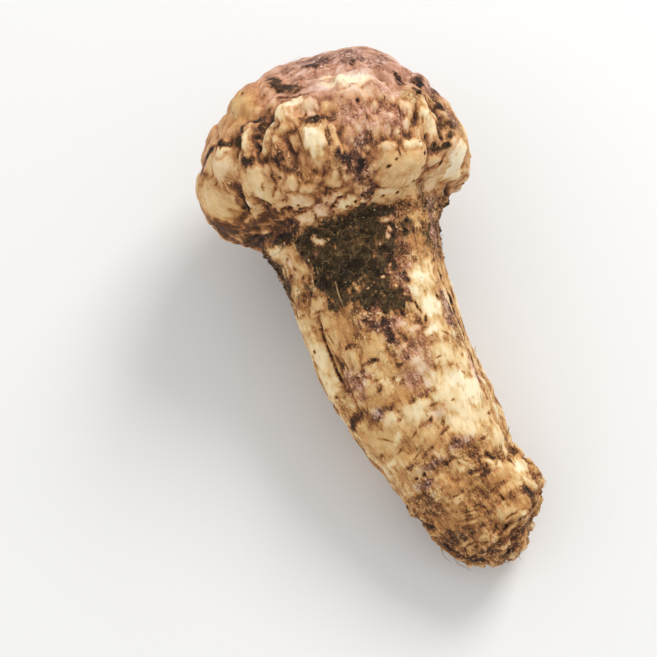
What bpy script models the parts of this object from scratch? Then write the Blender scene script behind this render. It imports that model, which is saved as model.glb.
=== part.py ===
"""A matsutake mushroom as picked: one solid of cap, neck and stem, lying on its side on a level surface.

Metres, +Z up, with the root end towards -Y and the cap towards +Y. The mushroom is first grown straight along
+Y, in millimetres: a height is counted from the root end, and an angle round the stem from the side that ends
up on top, towards +X. Its turned form gets the lobes of this one mushroom and then the relief of its skin. It is
bowed sideways, tipped until cap and root end both touch the surface, and pressed flat where it rests.
"""

import math

import bmesh
import bpy
import numpy as np
from mathutils import Vector, noise

MM = 0.001

# Driving dimensions, in millimetres
LENGTH = 142.0
CAP_RADIUS = 35.5
STEM_RADIUS = 19.3
ROOT_RADIUS = 19.0
WAIST_HEIGHT = 72.0
BOW_RADIUS = 310.0

# The turned form, as height above the root end and radius in shares of the driving dimensions
ROOT_END = ((0.0, 0.0), (0.5, 0.27), (2.2, 0.50), (6.0, 0.68), (12.5, 0.745), (22.0, 0.77))
STEM = ((34.0, 0.87), (46.0, 0.95), (58.0, 1.0), (70.0, 1.025), (80.0, 1.05), (88.0, 1.11), (94.0, 1.22))
CAP = (
    (97.8, 0.71),
    (99.6, 0.81),
    (102.2, 0.90),
    (106.0, 0.97),
    (112.0, 1.0),
    (119.0, 0.965),
    (126.8, 0.845),
    (133.6, 0.64),
    (138.6, 0.41),
    (141.3, 0.17),
    (LENGTH, 0.0),
)
NECK_HEIGHT = 97.0
ROOT_ZONE_HEIGHT = 27.0

# The lobes of this mushroom: height, angle in degrees, half length, half width, rise (a hollow if negative)
LOBES = (
    (126.0, 54.0, 15.0, 16.0, -1.0),
    (134.0, -24.0, 12.0, 16.0, -1.9),
    (139.0, 28.0, 11.0, 14.0, 1.6),
    (112.0, 62.0, 10.0, 10.0, -0.9),
    (100.5, 84.0, 8.0, 15.0, 3.2),
    (101.0, -84.0, 8.0, 18.0, 0.8),
    (113.0, -88.0, 13.0, 17.0, 1.6),
    (101.0, 8.0, 6.0, 24.0, 1.4),
    (108.0, 175.0, 20.0, 22.0, 1.2),
    (58.0, -88.0, 32.0, 14.0, 3.4),
    (88.0, -86.0, 10.0, 14.0, 0.2),
    (20.0, -84.0, 13.0, 12.0, 1.9),
    (58.0, 84.0, 24.0, 13.0, -2.3),
    (84.0, 84.0, 9.0, 13.0, 0.2),
    (16.0, 72.0, 8.0, 8.0, 2.8),
    (24.0, 95.0, 7.0, 9.0, -1.2),
    (5.0, -62.0, 9.0, 10.0, -1.9),
    (3.0, 62.0, 7.0, 11.0, -3.6),
)

# The lumps and grooves that stand out on the side shown, in the same columns
LUMPS = (
    (112.0, -14.0, 5.5, 3.8, 1.9),
    (119.0, -24.0, 6.0, 3.0, 1.7),
    (112.5, -30.5, 5.0, 2.8, 1.4),
    (117.5, -43.0, 4.5, 2.4, 1.3),
    (115.0, -59.0, 6.5, 3.8, 1.6),
    (108.0, -72.0, 7.0, 5.0, 1.5),
    (109.0, -43.0, 6.0, 5.0, 1.6),
    (103.0, -27.0, 5.0, 5.0, 1.4),
    (105.5, -9.0, 5.5, 3.2, 1.1),
    (115.5, 33.0, 6.0, 3.2, 1.5),
    (106.5, 56.0, 8.0, 6.0, 1.5),
    (101.5, 22.0, 6.0, 6.5, 2.0),
    (97.5, -3.0, 3.5, 4.0, 1.2),
    (96.5, -26.0, 3.5, 6.0, 1.1),
    (122.3, -27.0, 1.2, 6.5, -1.7),
    (106.5, 3.0, 8.0, 3.6, -1.6),
    (106.0, -57.0, 6.0, 1.5, -1.9),
    (101.5, -49.0, 3.5, 2.2, -1.5),
    (116.0, -36.5, 6.0, 1.4, -1.3),
    (110.0, 44.0, 7.0, 1.6, -1.5),
    (121.0, 47.0, 3.5, 2.4, -1.2),
    (116.5, -10.0, 2.6, 3.2, -1.1),
    (129.5, -14.0, 1.2, 5.0, -1.1),
    (128.0, 14.0, 1.6, 8.0, 0.7),
    (62.0, -74.0, 24.0, 3.0, 1.0),
    (64.0, -62.0, 16.0, 1.2, -1.1),
    (58.0, 30.0, 24.0, 6.0, 0.8),
    (70.0, 50.0, 10.0, 1.5, -1.0),
    (58.0, 2.0, 7.0, 6.0, 0.7),
    (54.0, -42.0, 10.0, 5.0, 0.8),
    (33.0, -8.0, 4.5, 7.0, 1.0),
    (30.0, 30.0, 4.0, 4.5, 1.1),
    (24.0, 4.0, 4.0, 5.0, 1.1),
    (22.0, -35.0, 4.5, 5.0, 1.0),
    (11.0, 20.0, 4.0, 5.0, 1.2),
    (26.0, 56.0, 4.0, 3.0, -1.3),
)
LUMP_COVER = 0.75

# The skin's lumps, by zone: size round the body, size along it, depth of the grooves between them
CAP_LUMPS = (7.5, 14.0, 1.5)
STEM_LUMPS = (6.5, 20.0, 0.9)
NECK_LUMPS = (6.5, 7.0, 0.9)
ROOT_LUMPS = (7.0, 7.5, 1.5)
WRINKLES = (6.5, 15.0, 0.6)
LUMP_WANDER = 0.55

# Where the mushroom is pressed flat: depth pressed away, and how far round it the skin is smoothed
CAP_PRESS = 1.5
ROOT_PRESS = 1.0
SMOOTH_ROUND_REST = 3.5

# How finely the form is turned before the relief is raised, and the faces that are kept of it
RING_STEP = 0.8
SEGMENTS = 216
KEPT_TRIANGLES = 10400

SKIN_COLOUR = (0.52, 0.36, 0.21, 1.0)
SKIN_ROUGHNESS = 0.72


def profile():
    """The turned outline from the root end to the top of the cap, as rows of (height, radius)."""
    corners = [(height, share * ROOT_RADIUS) for height, share in ROOT_END]
    corners += [(height, share * STEM_RADIUS) for height, share in STEM]
    corners += [(height, share * CAP_RADIUS) for height, share in CAP]
    corners = np.array(corners)
    mirrored = np.array([1.0, -1.0])
    knots = np.vstack([corners[1] * mirrored, corners, corners[-2] * mirrored])
    points = []
    for before, start, end, after in zip(knots, knots[1:], knots[2:], knots[3:]):
        steps = max(2, round(float(np.linalg.norm(end - start)) / RING_STEP))
        for t in np.arange(steps) / steps:
            square = 2 * before - 5 * start + 4 * end - after
            cube = 3 * start - before - 3 * end + after
            points.append(start + 0.5 * ((end - before) * t + square * t**2 + cube * t**3))
    points.append(corners[-1])
    return np.array(points)


def turned_body():
    """The straight turned body as a mesh object, its outline spun about +Y."""
    form = bmesh.new()
    outline = [form.verts.new((0.0, height, radius)) for height, radius in profile()]
    edges = [form.edges.new(pair) for pair in zip(outline, outline[1:])]
    bmesh.ops.spin(
        form, geom=outline + edges, axis=(0, 1, 0), angle=2 * math.pi, steps=SEGMENTS, use_merge=True
    )
    bmesh.ops.remove_doubles(form, verts=form.verts, dist=1e-4)
    bmesh.ops.recalc_face_normals(form, faces=form.faces)
    mesh = bpy.data.meshes.new("mushroom")
    form.to_mesh(mesh)
    form.free()
    return bpy.data.objects.new("mushroom", mesh)


def read_points(mesh):
    """A mesh's vertices and their outward normals, as two arrays."""
    points = np.empty(len(mesh.vertices) * 3)
    normals = np.empty(len(mesh.vertices) * 3)
    mesh.vertices.foreach_get("co", points)
    mesh.vertices.foreach_get("normal", normals)
    return points.reshape(-1, 3), normals.reshape(-1, 3)


def step(low, high, values):
    """A smooth rise from 0 at low to 1 at high."""
    share = np.clip((values - low) / (high - low), 0.0, 1.0)
    return share * share * (3.0 - 2.0 * share)


def raised(points, patches, flat_top):
    """The rise of each point from a table of oval patches, and how much of it they cover, from 0 to 1."""
    outline = profile()
    rise = np.zeros(len(points))
    cover = np.zeros(len(points))
    for height, angle, half_length, half_width, rise_of_patch in patches:
        radius = np.interp(height, outline[:, 0], outline[:, 1])
        turn = math.radians(angle)
        centre = np.array([radius * math.sin(turn), height, radius * math.cos(turn)])
        across = (points - centre) @ np.array([math.cos(turn), 0.0, -math.sin(turn)])
        along_square = np.maximum(((points - centre) ** 2).sum(1) - across**2, 0.0)
        oval = along_square / half_length**2 + (across / half_width) ** 2
        share = np.exp(-(oval**flat_top))
        rise += rise_of_patch * share
        cover = np.maximum(cover, share)
    return rise, cover


def lumps(points, size_round, size_along, depth, seed):
    """Rounded lumps with grooves between them, longer along the body than round it, as a rise of each point."""
    rise = np.empty(len(points))
    shift = Vector((seed * 17.3, seed * 5.1, -seed * 9.7))
    for index, (x, y, z) in enumerate(points):
        place = Vector((x / size_round, y / size_along, z / size_round)) + shift
        place += noise.noise_vector(place * 0.9) * LUMP_WANDER
        nearest, second = noise.voronoi(place)[0][:2]
        rise[index] = second - nearest
    return depth * (step(0.0, 0.42, rise) - 1.0)


def wrinkles(points, size_round, size_along, depth, seed):
    """Narrow meandering furrows, as a rise of each point that is never above 0."""
    rise = np.empty(len(points))
    shift = Vector((seed * 3.7, -seed * 11.9, seed * 6.1))
    for index, (x, y, z) in enumerate(points):
        place = Vector((x / size_round, y / size_along, z / size_round)) + shift
        rise[index] = abs(noise.noise(place + noise.noise_vector(place * 0.7) * 0.6))
    return depth * (step(0.0, 0.16, rise) - 1.0)


def skin_rise(points):
    """The relief of the skin: long lumps on cap and stem, crumbly soil on the neck, a rough root end."""
    height = points[:, 1]
    on_root = 1.0 - step(ROOT_ZONE_HEIGHT - 8.0, ROOT_ZONE_HEIGHT + 8.0, height)
    on_cap = step(NECK_HEIGHT + 0.5, NECK_HEIGHT + 5.0, height)
    below_cap = 1.0 - on_cap
    on_neck = below_cap * step(NECK_HEIGHT - 26.0, NECK_HEIGHT - 10.0, height)
    on_stem = below_cap * (1.0 - on_root) * (1.0 - on_neck)
    crown = step(LENGTH - 16.0, LENGTH - 4.0, height)
    rise = lumps(points, *CAP_LUMPS, seed=1) * on_cap * (1.0 - 0.75 * crown)
    rise += lumps(points, *STEM_LUMPS, seed=2) * on_stem
    rise += lumps(points, *NECK_LUMPS, seed=3) * on_neck
    rise += lumps(points, *ROOT_LUMPS, seed=4) * on_root
    rise += wrinkles(points, *WRINKLES, seed=5) * (on_cap * (1.0 - 0.5 * crown) + 0.7 * on_stem)
    standing_out, cover = raised(points, LUMPS, flat_top=2)
    return rise * (1.0 - LUMP_COVER * cover) + standing_out


def bowed(points):
    """Points of the straight mushroom carried onto the sideways bow of its stem."""
    turn = (points[:, 1] - WAIST_HEIGHT) / BOW_RADIUS
    reach = BOW_RADIUS - points[:, 0]
    return np.stack([BOW_RADIUS - reach * np.cos(turn), WAIST_HEIGHT + reach * np.sin(turn), points[:, 2]], 1)


def tipped(points, tilt):
    """Points turned about X by an angle that lifts the cap's end."""
    along, up = points[:, 1], points[:, 2]
    turned = along * math.cos(tilt) - up * math.sin(tilt), along * math.sin(tilt) + up * math.cos(tilt)
    return np.stack([points[:, 0], *turned], 1)


def resting_tilt(points, is_cap):
    """The tilt at which the cap and the root end, each less what is pressed flat, lie on one level."""
    low, high = 0.0, math.radians(30.0)
    for _ in range(40):
        tilt = (low + high) / 2
        up = tipped(points, tilt)[:, 2]
        if up[is_cap].min() + CAP_PRESS < up[~is_cap].min() + ROOT_PRESS:
            low = tilt
        else:
            high = tilt
    return tilt


def laid_down(points, rise, normals, is_cap):
    """The grown mushroom lying on the surface. Its skin is smooth round the two places where it rests."""
    tilt = resting_tilt(bowed(points), is_cap)
    lying = tipped(bowed(points), tilt)
    floor = lying[:, 2].min() + CAP_PRESS
    rough = step(0.0, SMOOTH_ROUND_REST, lying[:, 2] - floor - 1.0)
    grown = tipped(bowed(points + normals * (rise * rough)[:, None]), tilt)
    grown[:, 2] -= floor
    return grown


def grow():
    """Raises the lobes and the skin on the turned body, lays it down and gives it to its object."""
    body = turned_body()
    points, normals = read_points(body.data)
    lobes, _ = raised(points, LOBES, flat_top=1)
    points = points + normals * lobes[:, None]
    body.data.vertices.foreach_set("co", points.ravel())
    body.data.update()
    points, normals = read_points(body.data)
    grown = laid_down(points, skin_rise(points), normals, points[:, 1] > LENGTH / 2)
    grown[:, 1] -= (grown[:, 1].min() + grown[:, 1].max()) / 2
    grown[:, 0] -= (grown[:, 0].min() + grown[:, 0].max()) / 2
    body.data.vertices.foreach_set("co", (grown * MM).ravel())
    body.data.update()
    return body


def pressed_flat(body, cutters):
    """Thins the mesh to the faces that the form needs, then cuts away what lies below the surface."""
    thinner = body.modifiers.new("fewer faces", "DECIMATE")
    triangles = 2 * len(body.data.polygons)
    thinner.ratio = KEPT_TRIANGLES / triangles
    bpy.ops.mesh.primitive_cube_add(size=1.0)
    surface = bpy.context.object
    surface.name = "surface_cutter"
    surface.dimensions = (2 * LENGTH * MM, 2 * LENGTH * MM, LENGTH * MM)
    surface.location.z = -LENGTH * MM / 2
    surface.hide_render = True
    surface.display_type = "WIRE"
    for collection in surface.users_collection:
        collection.objects.unlink(surface)
    cutters.objects.link(surface)
    press = body.modifiers.new("pressed flat", "BOOLEAN")
    press.operation = "DIFFERENCE"
    press.object = surface


def skin_material():
    """The mushroom's skin as one plain finish."""
    material = bpy.data.materials.new("mushroom_skin")
    material.use_nodes = True
    shader = material.node_tree.nodes["Principled BSDF"]
    shader.inputs["Base Color"].default_value = SKIN_COLOUR
    shader.inputs["Roughness"].default_value = SKIN_ROUGHNESS
    shader.inputs["Metallic"].default_value = 0.0
    return material


def new_collection(name):
    """A collection of that name, in the scene."""
    collection = bpy.data.collections.new(name)
    bpy.context.scene.collection.children.link(collection)
    return collection


def main():
    for old in list(bpy.data.objects):
        bpy.data.objects.remove(old)
    body = grow()
    body.data.materials.append(skin_material())
    body.data.shade_smooth()
    new_collection("matsutake").objects.link(body)
    pressed_flat(body, new_collection("cutters"))


main()
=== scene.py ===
"""Looks of a picked matsutake mushroom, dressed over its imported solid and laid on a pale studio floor.

The mushroom lies on its side with its cap towards +Y. Marks on its skin are placed as they grew: a height in
millimetres above the root end, and an angle in degrees round the stem from the side that lies on top towards +X.
Lengths are in millimetres until a mesh is written, which is in metres.
"""

import logging
import math
from dataclasses import dataclass, field
from enum import Enum
from typing import Any, Sequence

import bmesh
import bpy
import numpy as np
from mathutils import Matrix, Vector, noise

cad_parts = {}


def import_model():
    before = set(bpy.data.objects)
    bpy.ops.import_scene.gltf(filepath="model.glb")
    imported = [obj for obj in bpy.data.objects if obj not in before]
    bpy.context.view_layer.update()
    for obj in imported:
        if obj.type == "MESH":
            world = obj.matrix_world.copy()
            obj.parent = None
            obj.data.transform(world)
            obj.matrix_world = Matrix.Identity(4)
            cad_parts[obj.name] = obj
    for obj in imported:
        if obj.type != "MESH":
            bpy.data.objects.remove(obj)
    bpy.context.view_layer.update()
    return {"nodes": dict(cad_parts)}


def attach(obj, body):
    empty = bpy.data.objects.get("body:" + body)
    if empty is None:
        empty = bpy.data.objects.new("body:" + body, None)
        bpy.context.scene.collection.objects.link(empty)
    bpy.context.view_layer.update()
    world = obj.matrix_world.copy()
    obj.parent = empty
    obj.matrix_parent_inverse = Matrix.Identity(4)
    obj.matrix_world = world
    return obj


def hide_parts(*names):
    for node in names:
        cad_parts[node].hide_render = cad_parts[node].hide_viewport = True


LOG = logging.getLogger("matsutake")
MM = 0.001
BODY = "root"
NODE = "mushroom"
NOISE_SEED = 7

Colour = tuple[float, float, float]
Stops = tuple[tuple[float, Colour], ...]
Rows = tuple[tuple[float, ...], ...]

# Heights above the root end between which one zone of the skin passes into the next
ROOT_ZONE = (22.0, 34.0)
NECK_ZONE = (74.0, 86.0)
CROWN_ZONE = (117.0, 125.0)

# The looks that are painted point by point and stored with the mesh
PAINTED = ("tone", "pink", "grey", "soil", "rough")


def smoothstep(low: float, high: float, values: np.ndarray) -> np.ndarray:
    """A smooth rise from 0 at low to 1 at high.

    Args:
        low: where the rise starts.
        high: where the rise ends.
        values: the values to weigh.

    Returns:
        One weight from 0 to 1 for each value.
    """
    share = np.clip((values - low) / (high - low), 0.0, 1.0)
    return share * share * (3.0 - 2.0 * share)


def fractal_noise(points: np.ndarray, size: Sequence[float], octaves: int, seed: float) -> np.ndarray:
    """Soft noise at each point, about -1 to 1.

    Args:
        points: rows of coordinates, in millimetres.
        size: the width of the noise's features along each coordinate, in millimetres.
        octaves: how many finer layers it has.
        seed: a shift that picks one noise out of many.

    Returns:
        One value for each point.
    """
    places = points / np.array(size) + np.array([seed * 7.31, -seed * 3.17, seed * 5.59])
    values = (noise.fractal(Vector(place), 1.0, 2.0, octaves) for place in places)
    return np.fromiter(values, float, len(places))


def cell_noise(points: np.ndarray, size: Sequence[float], wander: float, seed: float) -> np.ndarray:
    """Cells with grooves between them: 0 on the border between two cells, rising towards their middles.

    Args:
        points: rows of coordinates, in millimetres.
        size: the width of a cell along each coordinate, in millimetres.
        wander: how far the borders meander, in shares of a cell.
        seed: a shift that picks one pattern out of many.

    Returns:
        One value from 0 to about 1 for each point.
    """
    places = points / np.array(size) + np.array([-seed * 4.13, seed * 6.71, seed * 2.89])
    values = np.empty(len(places))
    for index, place in enumerate(places):
        spot = Vector(place)
        nearest, second = noise.voronoi(spot + noise.noise_vector(spot * 1.3) * wander)[0][:2]
        values[index] = second - nearest
    return values


def place_object(name: str, data: Any) -> bpy.types.Object:
    """Makes an object of that data and puts it in the scene."""
    made = bpy.data.objects.new(name, data)
    bpy.context.scene.collection.objects.link(made)
    return made


def mesh_of(name: str, form: bmesh.types.BMesh) -> bpy.types.Mesh:
    """Turns a form into a mesh of that name and frees the form."""
    mesh = bpy.data.meshes.new(name)
    form.to_mesh(mesh)
    form.free()
    return mesh


@dataclass(frozen=True)
class Growth:
    """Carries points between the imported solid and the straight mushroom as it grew."""

    waist_height: float = 72.0
    bow_radius: float = 310.0
    tilt: float = math.radians(12.499)
    lift: float = 10.544
    shift_across: float = 1.608
    shift_along: float = 69.707

    def straight(self, packed: np.ndarray) -> np.ndarray:
        """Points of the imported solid, carried back onto the straight mushroom.

        Args:
            packed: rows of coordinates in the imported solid's frame, in metres.

        Returns:
            Rows of x, height and z, in millimetres.
        """
        across = packed[:, 0] / MM + self.shift_across
        along = packed[:, 1] / MM + self.shift_along
        up = packed[:, 2] / MM - self.lift
        ahead = along * math.cos(self.tilt) + up * math.sin(self.tilt)
        above = up * math.cos(self.tilt) - along * math.sin(self.tilt)
        side = self.bow_radius - across
        turn = np.arctan2(ahead - self.waist_height, side)
        reach = np.hypot(ahead - self.waist_height, side)
        return np.stack([self.bow_radius - reach, self.waist_height + self.bow_radius * turn, above], 1)


@dataclass(frozen=True)
class Skin:
    """Where each point of the fine mesh lies on the grown mushroom.

    The cap begins between two heights, a little lower further out. Girth is the distance from the middle line at
    which the grain is laid out, and the skin's own distance at the root tip and the cap's pole.
    """

    straight: np.ndarray
    cap_edge: tuple[float, float] = (94.0, 96.4)
    cap_edge_radius: float = 24.0
    cap_edge_slope: float = 0.12
    cap_middle_height: float = 107.0
    cap_arc_radius: float = 36.0
    cap_arc_top: float = 168.0
    stem_girth: float = 19.0
    cap_girth: float = 33.0
    girth_zone: tuple[float, float] = (88.0, 104.0)
    tip_zone: tuple[float, float] = (4.0, 14.0)
    pole_zone: tuple[float, float] = (116.0, 130.0)

    @property
    def height(self) -> np.ndarray:
        """Height above the root end."""
        return self.straight[:, 1]

    @property
    def radius(self) -> np.ndarray:
        """Distance from the middle line."""
        return np.hypot(self.straight[:, 0], self.straight[:, 2])

    @property
    def angle(self) -> np.ndarray:
        """Angle round the stem, in degrees."""
        return np.degrees(np.arctan2(self.straight[:, 0], self.straight[:, 2]))

    @property
    def cap(self) -> np.ndarray:
        """How much each point belongs to the cap, from 0 to 1."""
        return smoothstep(*self.cap_edge, self.height + self.cap_edge_slope * (self.radius - self.cap_edge_radius))

    @property
    def arc(self) -> np.ndarray:
        """Way along the skin from the root end, over the stem and up the cap to its top."""
        polar = np.arctan2(self.radius, self.height - self.cap_middle_height)
        on_cap = self.cap_arc_top - self.cap_arc_radius * polar
        return self.height + (on_cap - self.height) * self.cap

    @property
    def grain(self) -> np.ndarray:
        """Coordinates whose third runs along the fibres, the first two round them."""
        turn = np.radians(self.angle)
        girth = self.stem_girth + (self.cap_girth - self.stem_girth) * smoothstep(*self.girth_zone, self.height)
        ends = np.maximum(smoothstep(*self.pole_zone, self.height), 1.0 - smoothstep(*self.tip_zone, self.height))
        girth += (self.radius - girth) * ends
        return np.stack([girth * np.cos(turn), girth * np.sin(turn), self.arc], 1)


@dataclass(frozen=True)
class Effect:
    """What one kind of mark does to the skin.

    Its tone runs from 0, black, to 1, cream. Rim is how much darker the skin is right around it, the groove's own
    dark skin and painted shade together, rough how speckled and frayed it looks, and rise how far it stands out, in
    millimetres.
    """

    tone: float
    pink: float = 0.0
    grey: float = 0.0
    soil: float = 0.0
    rough: float = 0.8
    rise: float = 0.0
    rim: float = 0.0
    softness: float = 0.5
    cover: float = 0.9


class Mark(Enum):
    """The kinds of mark on the skin, in the order in which they lie on each other."""

    SMOOTH_TAN = Effect(tone=0.66, pink=0.05, rough=0.5, softness=0.7, cover=0.85)
    ORANGE = Effect(tone=0.61, rough=0.45, softness=0.7, cover=0.8)
    PINK = Effect(tone=0.59, pink=1.0, rough=0.8, softness=0.6, cover=0.85)
    PURPLE = Effect(tone=0.47, pink=0.9, grey=0.8, rough=0.9, softness=0.7, cover=0.8)
    RUST = Effect(tone=0.27, rough=0.5, softness=0.7, cover=1.0)
    RED = Effect(tone=0.52, pink=0.65, rough=0.8, rise=0.1, softness=0.7, cover=0.9)
    OLIVE = Effect(tone=0.46, grey=0.7, rough=1.0, softness=0.7, cover=0.75)
    TAN = Effect(tone=0.76, rough=0.35, rise=0.08, softness=0.9)
    PEACH = Effect(tone=0.83, pink=0.45, rough=0.3, rise=0.08, softness=0.9)
    CREAM = Effect(tone=0.93, rough=0.25, rise=0.10, softness=0.9)
    # The lumps' and chips' rims darken the skin round them: partly the grooves' dark skin, partly painted shade.
    TAN_LUMP = Effect(tone=0.77, pink=0.1, rough=0.35, rise=0.42, rim=0.13, softness=0.9, cover=1.0)
    PEACH_LUMP = Effect(tone=0.82, pink=0.22, rough=0.25, rise=0.42, rim=0.13, softness=0.9, cover=1.0)
    LOBE = Effect(tone=0.75, pink=0.1, rough=0.3, rise=0.05, softness=1.0, cover=1.0)
    CREAM_LUMP = Effect(tone=0.94, rough=0.25, rise=0.48, rim=0.14, softness=0.9, cover=1.0)
    # The lobes' low edges made paler than their flesh where the mushroom's own shape shades them: painted light.
    PAINTED_LIGHT_SHELF = Effect(tone=0.90, pink=0.08, rough=0.35, softness=1.0, cover=0.75)
    WHITE = Effect(tone=1.15, rough=0.2, rise=0.12, softness=0.9)
    BROWN = Effect(tone=0.36, pink=0.15, rough=0.9, rise=-0.15, softness=0.8, cover=0.8)
    VELVET = Effect(tone=0.27, pink=0.6, grey=0.4, rough=1.0, softness=0.8, cover=0.9)
    FUZZ = Effect(tone=0.20, pink=0.1, soil=0.38, rough=1.0, rise=0.1, softness=0.7, cover=0.95)
    SOIL = Effect(tone=0.30, soil=1.0, rough=1.0, rise=0.2, softness=1.0, cover=0.88)
    FLECK = Effect(tone=0.52, pink=0.9, rough=1.0, rise=0.15, softness=0.9, cover=0.65)
    CLOD = Effect(tone=0.42, grey=0.8, soil=0.25, rough=1.0, rise=0.3, softness=0.9, cover=0.6)
    CHIP = Effect(tone=0.86, pink=0.2, rough=0.3, rise=0.35, rim=0.1, softness=0.9, cover=1.0)
    LINE = Effect(tone=0.22, rough=0.6, rise=-0.15, softness=0.9, cover=0.85)
    GROOVE = Effect(tone=0.10, rough=0.8, rise=-0.4, softness=0.9, cover=1.0)
    DARK = Effect(tone=0.10, pink=0.2, rough=1.0, rise=-0.25, softness=0.9, cover=1.0)
    CRACK = Effect(tone=-0.05, rough=0.5, rise=-0.4, softness=0.8, cover=1.0)
    PIT = Effect(tone=-0.05, rough=0.3, rise=-0.4, softness=0.8, cover=1.0)


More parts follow.
